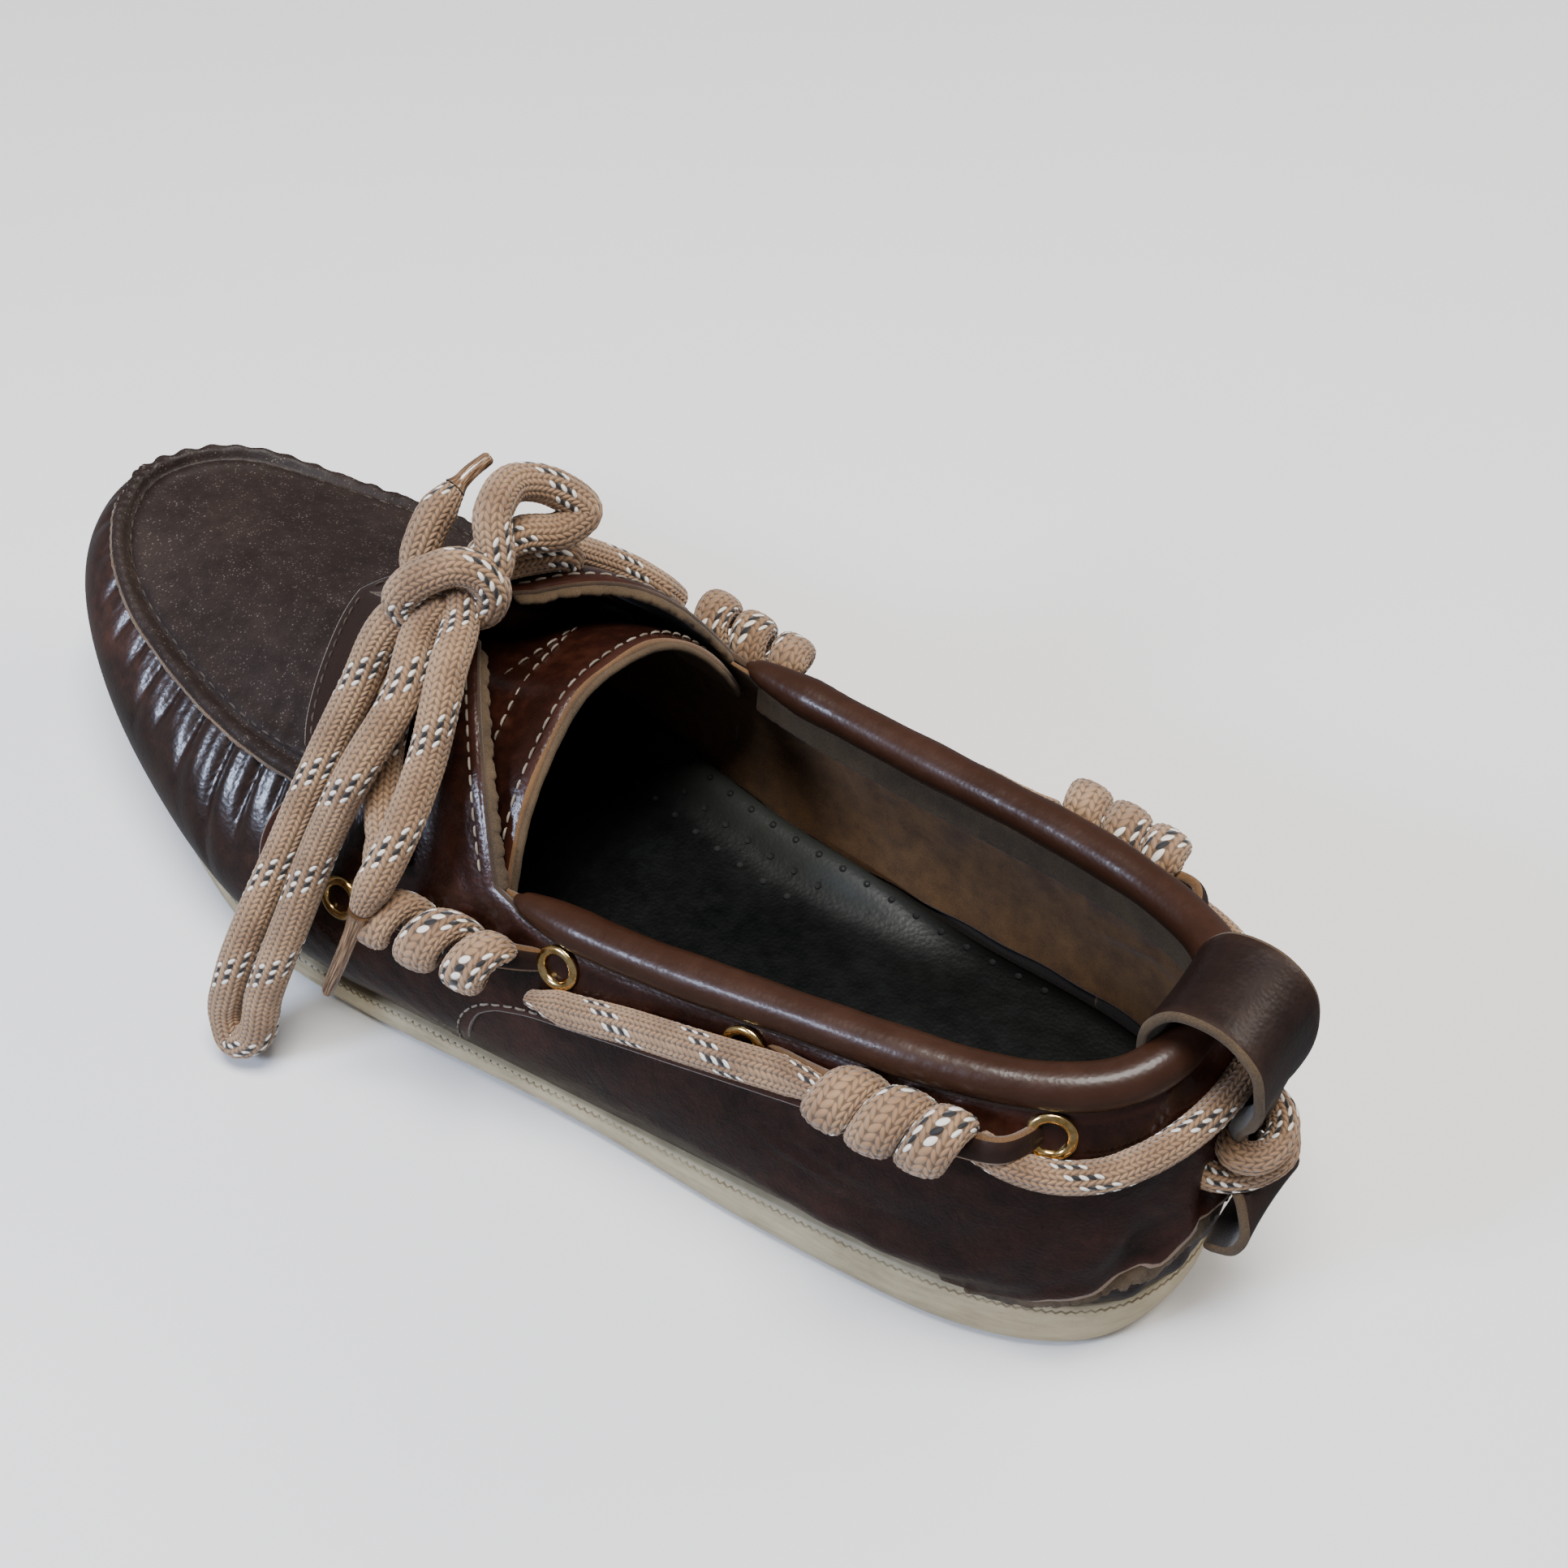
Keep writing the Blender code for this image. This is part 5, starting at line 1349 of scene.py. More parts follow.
def makeQuarters():
    level = np.linspace(0, 1, 40)
    wing = 1 + np.linspace(0, 1, 44)
    tau = np.concatenate([np.linspace(0, 0.14, 34), np.linspace(0.14, 1, 44)[1:]])[:, None]
    rear = np.linspace(0, cornerRun, 120)
    halves = []
    for side in (1.0, -1.0):
        low = tableAt(foxingTop, rear)[:, None]
        share = low + (rimShare(rear, side)[:, None] - low) * level
        run = np.broadcast_to(rear[:, None], share.shape)
        back = offSkin(run, side, share, quarterLift(run, share))
        run = cornerRun + (tableAt(saddleFront, level) - cornerRun) * tau
        low = np.where(run < foxingTop[-1][0], tableAt(foxingTop, run), 0.0)
        share = low + (1 - low) * level
        front = offSkin(run, side, share, quarterLift(run, share))
        run = facingBack(wing) + (tableAt(saddleFront, wing) - facingBack(wing)) * tau
        point, out = skinFrame(run, side, np.broadcast_to(wing, run.shape))
        over = point + out * saddle["lift"]
        over[:, 0] = front[:, -1]
        halves.append([back, front, over, point[:, -1], out[:, -1], run[:, -1]])
    sewnTogether(halves[0][0][0], halves[1][0][0])
    joined = halves[0][5] > slitRun - 1e-6
    ridgeOut = unit(halves[0][4] + halves[1][4])
    for back, front, over, ridge, out, run in halves:
        over[joined, -1] = ridge[joined] + ridgeOut[joined] * saddle["lift"]
    creases = bothSides([
        (0.030, 0.99, 0.050, 0.80, 3.0, -0.9, 1.0),
        (0.500, 1.10, 0.560, 0.70, 5.0, -0.4, 3.0),
        (0.600, 0.95, 0.645, 0.55, 3.2, -0.5, 2.0),
    ]) + [(0.350, 0.93, 0.250, 0.93, 3.0, 0.3, 1.0, 1)]

    def rubbed(points, distance):
        x, z = points[:, 0], points[:, 2]
        ripple = 0.10 * np.sin(x * 0.33 + z * 0.21) + 0.05 * np.sin(x * 0.9 - z)
        edge = 0.25 * np.exp(-(distance / 0.9)**2)
        return creaseRelief(points, creases) + ripple * smoothStep(0, 6, distance) - edge

    def toneWeight(points):
        return 0.9 * smoothStep(164, 184, points[:, 0]) * smoothStep(46, 56, points[:, 2])

    patches = halves[0][:3] + [grid[::-1] for grid in halves[1][:3]]
    leatherPiece("quartersAndSaddle", patches, saddle["thickness"], [saddleLeather, darkEdge, darkLining],
                 lambda p: p * [0, 1, 1] - [0, 0, 20], rubbed, ("upper",), edgeBulge=0.35, tone=toneWeight)


def makeFacingEdge():  # rough flesh of the facing's turned back edge
    share = np.linspace(1.0, 1.96, 90)[:, None]
    step = np.linspace(0.012, -1.0, 9)
    ragged = 0.0011 * np.sin(share * 61) + 0.0007 * np.sin(share * 143 + 1.0)
    run = facingBack(share) + (0.0040 + 0.6 * ragged) * step
    for side in (1.0, -1.0):
        grid = offSkin(run, side, share + 0 * step, saddle["lift"] - 0.75 - 0.5 * np.abs(step) + 0 * run)
        leatherPiece("facingEdge-" + sideName(side), [grid], 1.6, [fleshEdge, fleshEdge, darkLining], skyward,
                     edgeBulge=0.7)


heelCreases = bothSides([
    (0.060, 0.62, 0.085, 0.16, 3.4, -1.6, 1.5),
    (0.022, 0.66, 0.030, 0.40, 2.2, -1.4, 0.5),
    (0.120, 0.58, 0.230, 0.42, 6.0, -0.8, 5.0),
    (0.150, 0.25, 0.280, 0.22, 5.0, 0.7, 2.0),
]) + [
    (0.210, 0.52, 0.260, 0.60, 1.3, 0.35, 1.0, 1),
    (0.225, 0.46, 0.285, 0.55, 1.3, 0.35, 1.0, 1),
    (0.190, 0.42, 0.240, 0.36, 1.2, -0.3, 0.6, 1),
]


def tornEdge(run):  # wall share of the heel leather's lower edge
    wavy = (0.014 * np.sin(run * 190 + 0.6) + 0.008 * np.sin(run * 420)) * smoothStep(0.165, 0.13, run)
    return np.where(run < 0.165, tableAt(foxingFoot, run) + wavy, 0.0)


# A sheet round the heel between a low and a high share of the wall at each run, its distance off the
# skin worked out from run and share.
def heelSheet(name, run, low, high, steps, thickness, materials, distance, relief, nodes=(), edgeBulge=0.5):
    level = np.linspace(0, 1, steps)

    def rows(r, side, use):
        share = low[use][:, None] + (high - low)[use][:, None] * level
        return offSkin(r[:, None] + 0 * share, side, share, distance(r[:, None], share, level))

    leatherPiece(name, [roundHeel(run, rows)], thickness, materials, lambda p: p - [70, 0, 30], relief, nodes,
                 edgeBulge=edgeBulge)


def makeHeelLeather():
    half = np.linspace(0.0, 0.512, 165)
    run = np.concatenate([-half[::-1], half[1:]])
    r = np.abs(run)
    high = np.where(r < 0.497, tableAt(foxingTop, r), 0.0) + 0.055 + 0.25 * smoothStep(0.47, 0.497, r)

    def under(run, share, level):
        return quarterLift(run, share) - 1.05 * smoothStep(0.0, 0.3, share)

    def folds(points, distance):
        ripple = 0.12 * np.sin(points[:, 0] * 0.55 + points[:, 2] * 0.4) * smoothStep(0, 8, distance)
        flare = 0.9 * np.exp(-(distance / 2.2)**2) * (points[:, 0] < 34) * (points[:, 2] < 45)
        return creaseRelief(points, heelCreases) + ripple + flare

    heelSheet("heelLeather", run, tornEdge(r).clip(0, 1), high, 46, 1.5, [foxingLeather, rawEdge, darkLining],
              under, folds, ("heel_counter",), 0.9)


def makeHeelFringe():  # rough flesh standing out below the heel leather's torn lower edge
    run = np.linspace(-0.150, 0.150, 320)
    r = np.abs(run)
    torn = 0.014 * np.sin(r * 830) + 0.010 * np.sin(r * 1370 + 1.0)
    low = np.clip(tornEdge(r) - (0.125 + torn) * smoothStep(0.152, 0.12, r), 0.0, 1)

    def under(run, share, level):
        return 1.1 + 0.6 * (1 - level) + 0 * share

    def shaggy(points, distance):  # it follows the folds of the leather over it
        y, z = points[:, 1], points[:, 2]
        return 0.18 * np.sin(y * 5.1 + z * 2.3) * np.sin(z * 3.7) + creaseRelief(points, heelCreases)

    heelSheet("heelFringe", run, low, tornEdge(r) + 0.015, 10, 1.2, [fleshEdge, fleshEdge, darkLining],
              under, shaggy)


def makeHeelPatch():  # dark leather showing under the raw edge at the back, drawn in by the last
    run = np.linspace(-0.19, 0.19, 120)

    def under(run, share, level):
        return 0.1 + 0 * share

    def pulled(points, distance):
        y, z = points[:, 1], points[:, 2]
        fold = np.sin(y * 0.62 + 0.08 * z) + 0.4 * np.sin(y * 1.3 + 1.0)
        return 0.35 * fold + 0.9 * np.exp(-((z - 20) / 5)**2)

    heelSheet("heelPatch", run, 0 * run, 0 * run + 0.52, 28, 1.3, [foxingLeather, rawEdge, darkLining],
              under, pulled)


makeQuarters()
makeFacingEdge()
makeHeelLeather()
makeHeelFringe()
makeHeelPatch()
print("quarters and heel made")


# collar roll, tongue


def makeRoll():
    run = np.linspace(-0.462, 0.462, 340)
    rim = roundHeel(run, lambda r, side, use: rails(r, side)[3])
    radius = rollRadius(np.abs(run))
    distance = travel(rim)
    tangent = unit(np.gradient(rim, axis=0))
    side = unit(np.cross(tangent, [0.0, 0.0, 1.0]))
    up = np.cross(side, tangent)
    around = 44
    angle = np.arange(around) * 2 * math.pi / around
    # hand-stuffed: slow swells along it, and fine drawn wrinkles across the inner bends
    swell = (0.12 * np.sin(distance * 0.17) + 0.05 * np.sin(distance * 0.43 + 1.0))[:, None]
    wrinkle = 0.03 * np.sin(distance[:, None] * 2.1 + 2 * np.sin(angle))
    wrinkle = wrinkle * np.clip(np.sin(distance * 0.11), 0, 1)[:, None]
    size = radius[:, None] + (swell + wrinkle) * smoothStep(1.5, 3.5, radius)[:, None]
    ring = side[:, None] * np.cos(angle)[:, None] + up[:, None] * np.sin(angle)[:, None]
    grid = rim[:, None] + ring * size[..., None]
    index = np.arange(len(rim) * around).reshape(-1, around)
    faces = [wrapRings(*grid.shape[:2])]
    points = [grid.reshape(-1, 3)]
    base = index.size
    for row, way in ((0, -1), (-1, 1)):
        last = index[row]
        for shrink, push in ((0.92, 0.35), (0.68, 0.75), (0.35, 1.0)):
            past = tangent[row] * way * push * radius[row]
            points.append(rim[row] + (grid[row] - rim[row]) * shrink + past)
            now = base + np.arange(around)
            base += around
            faces.append(np.stack([last, np.roll(last, -1), np.roll(now, -1), now], 1)[:, ::way])
            last = now
        far = last[2::2]
        faces.append(np.stack([last[0:-2:2], last[1:-1:2], far, np.full(len(far), last[0])], 1)[1:, ::way])
    points = np.concatenate(points)
    putOutward("collarRoll", points, np.concatenate(faces), points[:, :2], [rollLeather], ("collar_roll",))


def makeRollHem():  # cut suede edge of the turned-in collar, just inside and under the roll
    half = np.linspace(0.0, 0.455, 150)
    level = np.linspace(0, 1, 8)

    def rows(r, side, use):
        share = rimShare(r, side)[:, None] - 0.02 - 0.095 * (1 - level)
        return offSkin(r[:, None] + 0 * share, side, share, 2.4 * level - 5.2 + 0 * share)

    def frayed(points, distance):
        return 0.12 * np.sin(points[:, 0] * 2.3) * np.sin(points[:, 0] * 0.37)

    leatherPiece("collarHem", [roundHeel(np.concatenate([-half[::-1], half[1:]]), rows)], 1.2,
                 [fleshEdge, fleshEdge, rawEdge], lambda p: [105, 0, 60] - p * [1, 1, 0], frayed)


tongue = {"rear": 0.478, "front": 0.655, "thickness": 1.8, "stand": 8.0}


def makeTongue():
    runs = np.linspace(tongue["rear"], tongue["front"], 60)
    low = np.linspace(0.80, 1.0, 14)[:-1]
    high = np.linspace(0, 1, 44)
    over = np.concatenate([0 * low, high])
    # the free back end stands up off the last, most of all in the middle
    back = (1 - smoothStep(tongue["rear"], 0.53, runs))[:, None]
    crest = np.sin(over * math.pi / 2)
    halves = []
    for side in (1.0, -1.0):
        run, share = np.meshgrid(runs, low, indexing="ij")
        wall = wallFace(run, side, share)
        run, share = np.meshgrid(runs, high, indexing="ij")
        half = np.concatenate([wall, instepFace(run, side, share, tongueRidge)], 1)
        half[..., 2] += tongue["stand"] * crest**2.2 * back
        half[..., 0] -= 6.0 * crest**2 * back
        halves.append(half)
    sewnTogether(halves[0][:, -1], halves[1][:, -1])
    grid = np.concatenate([halves[0], halves[1][:, -2::-1]], 1)
    # the two halves are eased into one round crown: each column drawn toward its neighbours, many times
    for _ in range(90):
        grid[:, 1:-1] = 0.25 * grid[:, :-2] + 0.5 * grid[:, 1:-1] + 0.25 * grid[:, 2:]
    normal = unit(np.cross(np.gradient(grid, axis=1), np.gradient(grid, axis=0)))
    normal *= np.sign(normal[:, grid.shape[1] // 2, 2]).mean()
    grid = grid - normal * 2.4

    def curled(points, distance):
        return 0.25 * np.sin(points[:, 1] * 0.35) - 0.2 * np.exp(-distance**2)

    leatherPiece("tongueLeather", [grid], tongue["thickness"], [saddleLeather, rawEdge, liningSuede],
                 skyward, curled, ("tongue",), edgeBulge=0.45)
    # thick raw flesh along the free edge, proud of the face leather
    reach = np.pad(grid[0] - grid[2], ((12, 12), (0, 0)), mode="edge")
    reach = unit(np.stack([np.convolve(column, np.ones(25) / 25, "valid") for column in reach.T], 1))
    place = np.arange(grid.shape[1])
    ragged = (0.25 * np.sin(place * 0.9) + 0.15 * np.sin(place * 2.3))[:, None]
    step = np.linspace(-2.2, 0.9, 8)
    edge = grid[0][:, None] + reach[:, None] * (step * (1 + 0.2 * ragged))[..., None]
    edge = edge - normal[0][:, None] * (0.95 + 0.1 * step[:, None])
    leatherPiece("tongueEdge", [edge], 1.5, [fleshEdge, fleshEdge, liningSuede], skyward, edgeBulge=0.6)
    return grid, normal


makeRoll()
makeRollHem()
tongueGrid, tongueNormal = makeTongue()
print("collar and tongue made")


# heel strap, eyelets, thongs

# middle line of the strap: distance from the heel, height, width
strapTable = [
    (12.4, 57.0, 20.0),
    (14.8, 65.0, 20.0),
    (16.9, 73.0, 20.0),
    (17.0, 81.0, 20.0),
    (12.8, 87.8, 20.0),
    (3.2, 89.4, 20.0),
    (-3.4, 85.2, 20.0),
    (-6.3, 76.5, 19.5),
    (-6.0, 66.8, 14.5),
    (-4.2, 59.4, 8.5),
    (-3.7, 54.0, 5.2),
    (-4.6, 48.9, 7.5),
    (-8.9, 44.6, 16.0),
    (-11.2, 38.8, 19.5),
    (-9.6, 33.2, 20.0),
    (-5.2, 30.4, 20.0),
]


def makeStrap():
    line = openSpline(strapTable, 170)
    path = np.stack([line[:, 0], np.full(len(line), 1.0), line[:, 1]], 1)
    pinched = smoothStep(18.0, 9.0, line[:, 2])[:, None]
    across = np.array([0.0, 1.0, 0.0])
    face = unit(np.cross(across, unit(np.gradient(path, axis=0))))
    t = np.linspace(-0.5, 0.5, 17)
    # gathered into folds where the rope ties it, sagging a little elsewhere
    fold = pinched * (1.5 * np.cos(t * 2 * math.pi * 1.5) - 0.8) - 0.5 * (1 - (2 * t)**2) * (1 - pinched)
    grid = path[:, None] + across * (t * line[:, 2:3])[..., None] + face[:, None] * fold[..., None]
    leatherPiece("heelStrap", [grid], 1.9, [strapLeather, fleshEdge, darkLining], lambda p: p - [2, 1, 72],
                 nodes=("heel_strap",), edgeBulge=0.4)


eyelet = {"ring": 3.7, "wire": 0.95, "barrel": 3.0}
# run with the share of the wall, then run with the share from the rim to the ridge
sideEyelets = [(0.583, 0.655), (0.425, 0.835), (0.300, 0.850), (0.122, 0.880)]
facingEyelets = [(0.565, 0.64), (0.507, 0.64)]


# Closed profile of radius and height, turned round an axis.
def putTurned(name, centre, out, radius, height, around, material, nodes):
    angle = (np.arange(around) * 2 * math.pi / around)[:, None]
    first = unit(np.cross(out, [0.31, 0.2, 0.93]))
    circle = first * np.cos(angle) + np.cross(out, first) * np.sin(angle)
    grid = centre + circle * np.asarray(radius)[:, None, None] + out * np.asarray(height)[:, None, None]
    points = grid.reshape(-1, 3)
    putOutward(name, points, wrapRings(*grid.shape[:2], closed=True), points[:, :2], [material], nodes)


def makeEyelets():
    # profile of the rolled rim and the barrel that goes through the leather
    turn = np.linspace(1.15 * math.pi, -0.5 * math.pi, 16)
    barrel = eyelet["barrel"]
    radius = [barrel, barrel, *eyelet["ring"] + eyelet["wire"] * np.cos(turn), eyelet["ring"] + 0.4]
    height = [-2.6, -0.6, *0.75 * eyelet["wire"] * np.sin(turn) + 0.3, -0.7]
    for side in (1.0, -1.0):
        for table, kind, base in ((sideEyelets, "eyelet", 0.0), (facingEyelets, "facing_eyelet", 1.0)):
            for number, (run, share) in enumerate(table, 1):
                point, out = skinFrame(run, side, base + share)
                point = point + out * (quarterLift(run, base + share) + 0.2)
                node = f"{kind}_{sideName(side)}_{number}"
                name = node.replace("_", "-")
                putTurned(name, point, out, radius, height, 56, gold, (node,))
                # painted shade: a dark disc at the foot of the barrel stands for the shade down the hole
                putTurned(name + "-hole", point, out, [barrel * 0.98, 0.2, 0.2, barrel * 0.98],
                          [-1.5, -1.5, -1.9, -1.9], 24, darkLining, ())


makeStrap()
makeEyelets()
print("strap and eyelets made")


# rope round the collar

# run and share of a coil's ends, where the braid begins in it, and how far it runs past its end turns
coils = {
    "front": {"ends": [(0.535, 0.735), (0.458, 0.78)], "begin": 37.0, "past": 3.4},
    "back": {"ends": [(0.245, 0.870), (0.1615, 0.850)], "begin": 11.0, "past": -0.6},
}
coil = {"diameter": 13.6, "width": 8.7, "thick": 5.2, "turns": 2.6}
thong = {"width": 4.8, "thickness": 1.9}


def makeCoil(side, kind):
    row = coils[kind]
    (runA, shareA), (runB, shareB) = row["ends"]
    middle = ((runA + runB) / 2, (shareA + shareB) / 2, 0.0)
    path, out = laidOn([(runA, shareA, 0.0), middle, (runB, shareB, 0.0)], side, 0.5,
                       coil["diameter"] / 2 + 0.65)
    ends = path[[0, -1]] + np.array([path[0] - path[1], path[-1] - path[-2]]) * (row["past"] / 0.5)
    path = openSpline(np.concatenate([ends[:1], path[8:-8:3], ends[1:]]), spacing=0.5)
    whole = np.linspace(0, 1, len(path))
    out = readOff(whole, np.linspace(0, 1, len(out)), out)
    length = travel(path)[-1]
    reach = coil["width"] * 0.16
    t = np.linspace(0, 1, 420)
    # the helix drifts from one end to the other, its turns side by side
    at = (reach + (length - 2 * reach) * t) / length
    centre = readOff(at, whole, path)
    axis = unit(readOff(at, whole, np.gradient(path, axis=0)))
    face = unit(readOff(at, whole, out))
    turn = (side * (coil["turns"] * 2 * math.pi * t - 0.35 * math.pi))[:, None]
    radial = face * np.cos(turn) + unit(np.cross(face, axis)) * np.sin(turn)
    drawn = 1 - 0.30 * smoothStep(0.07, 0.0, t) - 0.30 * smoothStep(0.93, 1.0, t)
    spine = centre + radial * ((coil["diameter"] - coil["thick"]) / 2 * drawn)[:, None]
    node = f"coil_{kind}_{sideName(side)}"
    ropePiece(node.replace("_", "-"), spine, coil["width"], coil["thick"], radial, row["begin"], 3.0, (node,))


def makeThong(node, side, start, finish, arch):  # strip from inside the coil to the eyelet, down its barrel
    start, finish = np.array(start), np.array(finish)
    middle = start * [0.45, 0.45, 0.5] + finish * [0.55, 0.55, 0.5] + [0, 0, arch]
    rows = openSpline(np.array([start, middle, finish]) * skinScale, 40) / skinScale
    point, out = skinFrame(rows[:, 0], side, rows[:, 1])
    path = point + out * rows[:, 2:3]
    along = unit(np.gradient(path, axis=0))
    across = unit(np.cross(out, along))
    widths = thong["width"] * (1 - 0.34 * np.linspace(0, 1, 40))[:, None]
    t = np.linspace(-0.5, 0.5, 9)
    crown = np.cross(along, across)[:, None] * (0.3 * (1 - (2 * t)**2))[:, None]
    leatherPiece(node.replace("_", "-"), [path[:, None] + across[:, None] * (t * widths)[..., None] + crown],
                 thong["thickness"], [strapLeather, rawEdge, rawEdge], lambda p: out[20] + 0 * p,
                 nodes=(node,), edgeBulge=0.4)


def makeThongs():
    # each coil's end and which way along the shoe it is left, with the stand-off there and in the eyelet
    starts = [("front", 0, -1, 5.0, -0.6), ("front", 1, 1, 5.0, -0.6), ("back", 0, -1, 6.0, -0.2),
              ("back", 1, 1, 6.5, -0.2)]
    for side in (1.0, -1.0):
        for number, ((kind, end, way, high, deep), eye) in enumerate(zip(starts, sideEyelets), 1):
            run, share = coils[kind]["ends"][end]
            makeThong(f"thong_{sideName(side)}_{number}", side, (run + way * 0.010, share, high),
                      (eye[0] + way * 0.001, eye[1], deep), 4.6 if number == 4 else 0.5)


# flat rope between the coils: run, wall share, extra stand-off
sideRope = [
    (0.4400, 0.675, 0.8),
    (0.4150, 0.700, 0.4),
    (0.3700, 0.768, 0.8),
    (0.3200, 0.822, 2.3),
    (0.2950, 0.842, 2.8),
    (0.2700, 0.852, 2.6),
    (0.2440, 0.862, 3.4),
]
heelRope = [
    (0.162, 0.838, 0.0),
    (0.150, 0.818, 0.1),
    (0.130, 0.798, 0.3),
    (0.095, 0.795, 0.4),
    (0.050, 0.830, 0.6),
    (0.000, 0.850, 0.8),
]
# the rope tied twice round the strap's pinch: distance from the heel, outward, height
wrapTable = [
    (5.0, 9.0, 51.5),
    (1.2, 9.2, 48.6),
    (-2.6, 7.2, 47.4),
    (-7.0, 3.2, 48.4),
    (-9.0, -1.5, 50.4),
    (-6.0, -5.0, 52.6),
    (-1.6, -3.6, 54.0),
    (-0.4, 2.6, 54.6),
    (-3.2, 6.4, 54.2),
    (-7.0, 4.8, 54.6),
    (-8.3, 0.6, 55.8),
    (-6.4, -3.4, 57.2),
    (-2.6, -4.6, 58.4),
    (1.6, -3.0, 58.6),
]
rope = {"diameter": 5.8, "flatWidth": 7.6, "flatThick": 3.8}


def makeRopes():
    thick = rope["diameter"]
    for side in (1.0, -1.0):
        for kind in coils:
            makeCoil(side, kind)
        path, out = laidOn(sideRope, side, 0.5, rope["flatThick"] / 2 + 0.7)
        t = np.linspace(0, 1, len(path))
        wide = rope["flatWidth"] * (0.35 + 0.65 * smoothStep(0, 0.13, t))
        wide = wide * (1 - 0.25 * smoothStep(0.86, 1.0, t))
        node = f"side_rope_{sideName(side)}"
        ropePiece(node.replace("_", "-"), path, wide, rope["flatThick"], out, 9.0, nodes=(node,))
    outer, inner = (laidOn(heelRope, side, 0.8, thick / 2 + 0.6)[0] for side in (1.0, -1.0))
    route = np.concatenate([outer[:-1], [(outer[-1] + inner[-1]) / 2], inner[-2::-1]])
    ropePiece("heel-rope", route, thick, thick, begin=4.0, nodes=("heel_rope",))
    ropePiece("strap-wrap", openSpline(wrapTable, 110), thick, thick, begin=15.0, nodes=("strap_wrap",))


# strands over the instep: run, share, extra on the leather, then free points
strandOnLeather = [
    (0.550, 0.860, 0.6),
    (0.553, 0.960, 0.8),
    (0.554, 1.080, 0.8),
    (0.552, 1.330, 0.6),
    (0.541, 1.590, 1.4),
]
outerStrand = [(172.2, 9.0, 81.4), (173.6, -1.0, 86.2), (176.0, -9.5, 83.4), (177.6, -15.8, 78.8)]
innerStrand = [(171.6, -11.0, 85.4), (174.0, 0.0, 86.2), (176.6, 9.5, 80.4), (177.8, 17.6, 74.2)]
outerRiser = [(163.6, 18.8, 79.2), (166.8, 14.4, 81.2), (170.4, 8.6, 81.8)]
innerRiser = [(162.8, -16.8, 84.4), (167.0, -10.6, 86.4), (171.4, -3.2, 86.4)]


def makeLaceStrands():
    thick = bow["diameter"] - 0.4
    (frontRun, frontShare), (backRun, backShare) = facingEyelets
    strands = ((1.0, outerStrand, outerRiser, 5.0), (-1.0, innerStrand, innerRiser, 16.0))
    for side, free, riser, begin in strands:
        held = laidOn(strandOnLeather, side, 0.8, thick / 2 + 0.55)[0]
        beyond = skinFrame(frontRun, -side, 1 + frontShare)[0]
        route = np.concatenate([held, openSpline([held[-1], *free, beyond], 60)[1:]])
        ropePiece(f"lace-strand-{sideName(side)}", openSpline(route[::4], 160), thick, thick, begin=begin,
                  nodes=("lace_bars",))
        foot, out = skinFrame(backRun, side, 1 + backShare)
        ropePiece(f"lace-riser-{sideName(side)}", openSpline([foot - out, *riser], 50), thick, thick,
                  begin=2.0, nodes=("lace_bars",))


makeThongs()
makeRopes()
makeLaceStrands()
print("ropes laid")


# stitches

stitch = {"length": 2.7, "gap": 0.5, "thread": 0.56, "in": 2.2, "rise": 0.16}
# rows across the tongue: distance from the heel, place across
tongueRows = [
    [(151.5, 23.5), (154.5, 14.0), (157.0, 2.0), (158.2, -8.0), (158.6, -15.0)],
    [(163.0, 4.0), (161.0, -4.0), (158.9, -13.5)],
]


def dropOnto(places, cloud, cloudNormals):  # height and normal of the nearest finished points
    gap = ((places[:, None, :2] - cloud[None, :, :2])**2).sum(-1)
    near = np.argpartition(gap, 5, axis=1)[:, :5]
    weight = 1 / (np.take_along_axis(gap, near, 1) + 0.02)
    weight /= weight.sum(1, keepdims=True)
    height = (cloud[near][..., 2] * weight).sum(1)
    up = unit((cloudNormals[near] * weight[..., None]).sum(1))
    return np.column_stack([places[:, :2], height]), up


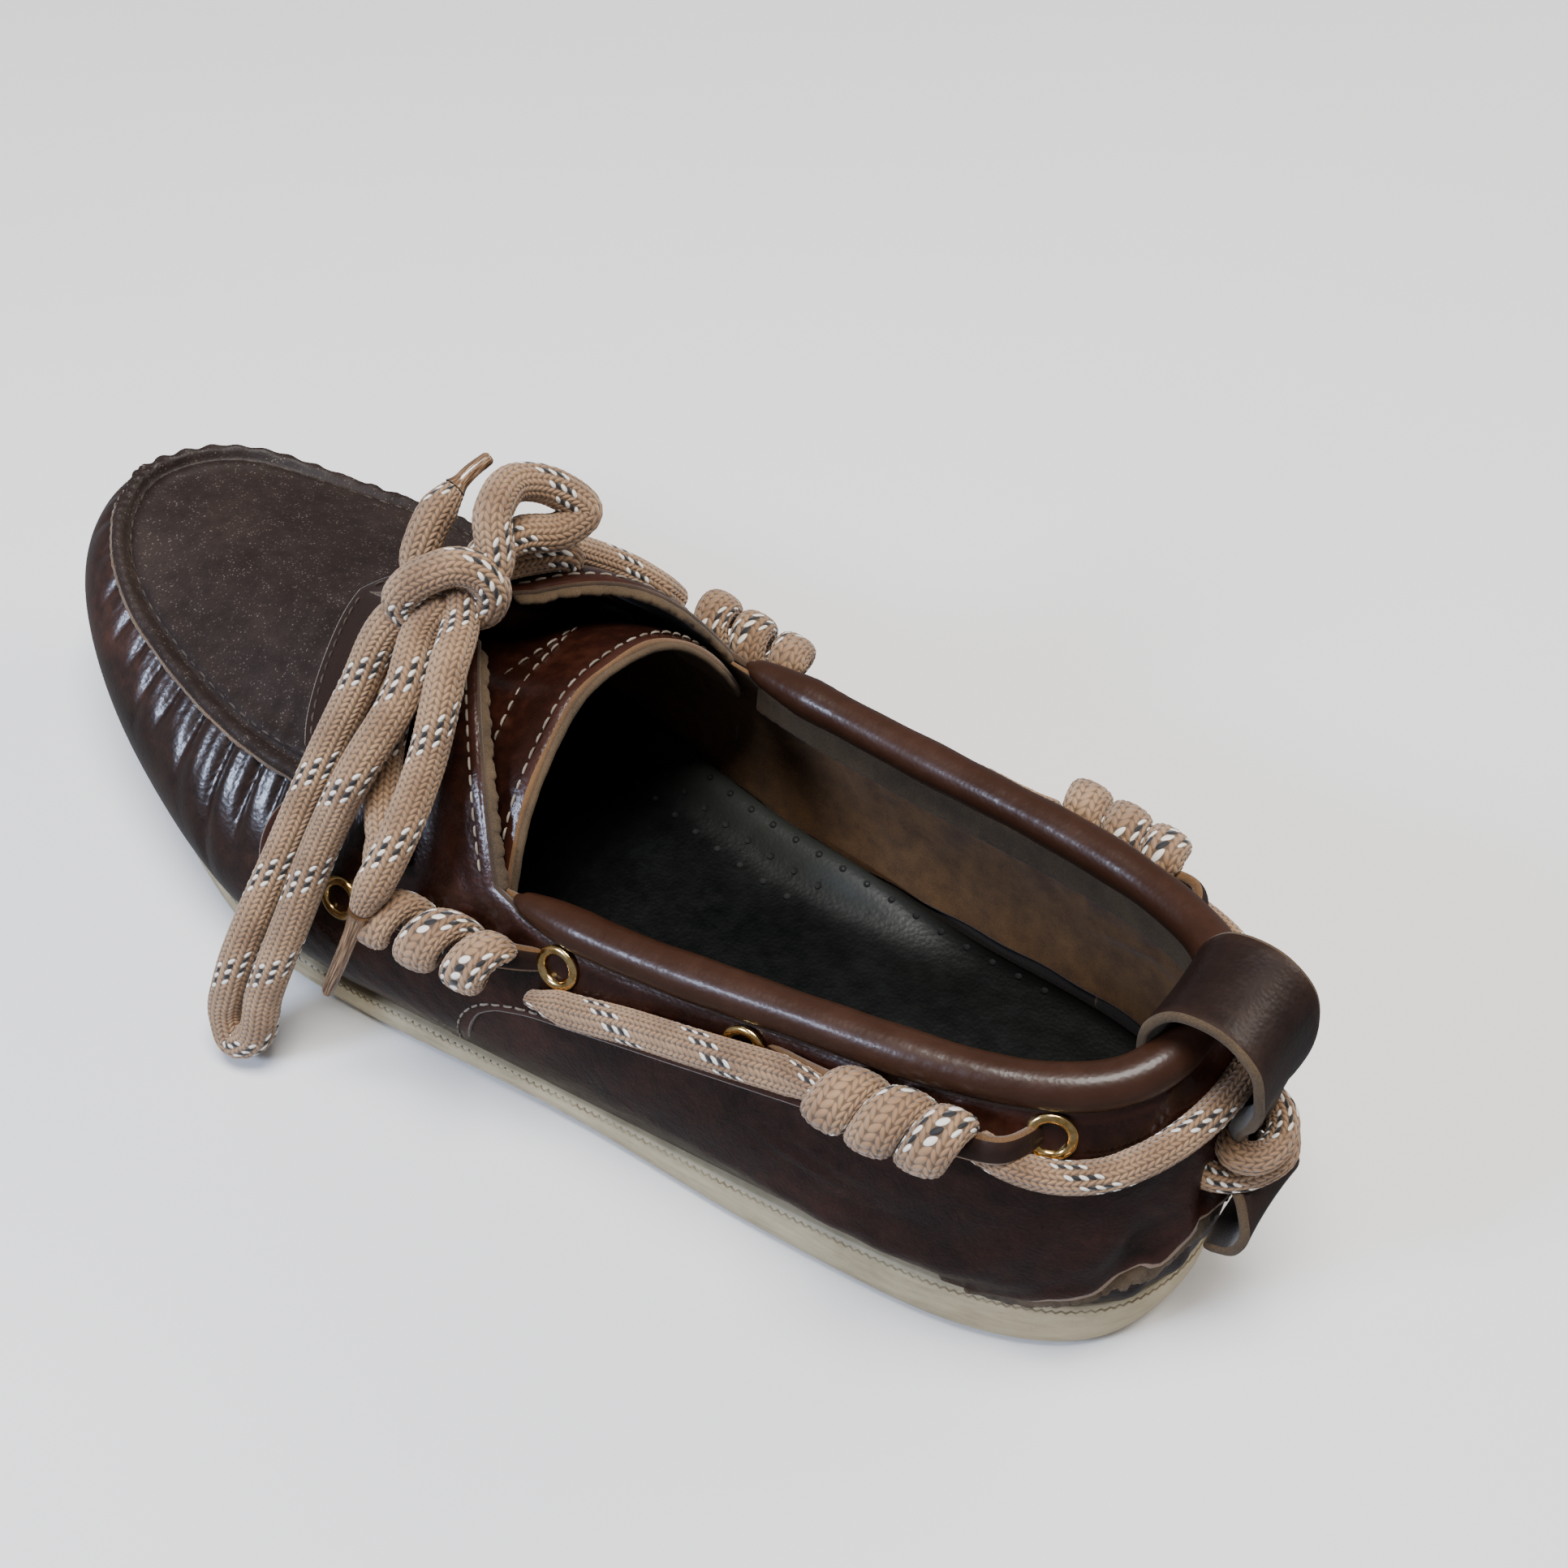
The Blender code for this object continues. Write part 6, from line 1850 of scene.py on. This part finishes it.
def sewRow(name, path, normals, material, fine=1.0):
    stitchRow("stitches-" + name, path, normals, material, stitch["length"] * fine, stitch["gap"],
              stitch["thread"] * fine, stitch["rise"])


def sewQuarters():
    for side in (1.0, -1.0):
        name = sideName(side)
        share = np.linspace(1.03, 1.93, 80)
        point, out = skinFrame(facingBack(share) + 0.0085, side, share)
        sewRow("facing-" + name, point + out * saddle["lift"], out, greyThread)
        # round the cut-out over the heel leather
        line = openSpline(np.array(foxingTop) * skinScale[:2], spacing=1.0)
        along = unit(np.gradient(line, axis=0))
        line = (line + np.stack([-along[:, 1], along[:, 0]], 1) * stitch["in"]) / skinScale[:2]
        run, share = line[(line[:, 1] > 0.04) & (line[:, 0] >= 0.0)].T
        point, out = skinFrame(run, side, share)
        sewRow("cutout-" + name, point + out * quarterLift(run, share)[:, None], out, greyThread)
        # front edge of the saddle, up the side seam and over the wing
        share = np.linspace(0.06, 1.96, 150)
        run = tableAt(saddleFront, share) - 0.0075
        point, out = skinFrame(run, side, share)
        lift = np.where(share < 1, quarterLift(run, share), saddle["lift"])
        sewRow("saddle-" + name, point + out * lift[:, None], out, darkThread, 0.85)


def sewTongue():
    line, normals = tongueGrid[2, 5:-5], tongueNormal[2, 5:-5]
    sewRow("tongue-edge", line + normals * 0.1, normals, greyThread)
    for number, row in enumerate(tongueRows, 1):
        sewRow(f"tongue-{number}", *dropOnto(openSpline(row, spacing=1.0), tongueGrid.reshape(-1, 3),
                                             tongueNormal.reshape(-1, 3)), greyThread)


def sewApron():
    rim = openSpline(rimLine(0.645, 260)[::3], spacing=1.0)
    along = unit(np.gradient(rim, axis=0) * [1, 1, 0])
    inward = np.stack([-along[:, 1], along[:, 0], 0 * along[:, 0]], 1)
    inward *= np.sign((([215.0, -3.0, 0.0] - rim) * inward).sum(1).mean())
    path, normals = dropOnto(rim + inward * apron["stitchIn"], apronTop, skyward(apronTop))
    stitchRow("stitches-apron", path, normals, darkThread, 2.6, 1.4, 0.6, 0.16)


sewQuarters()
sewTongue()
sewApron()
print("stitches sewn")
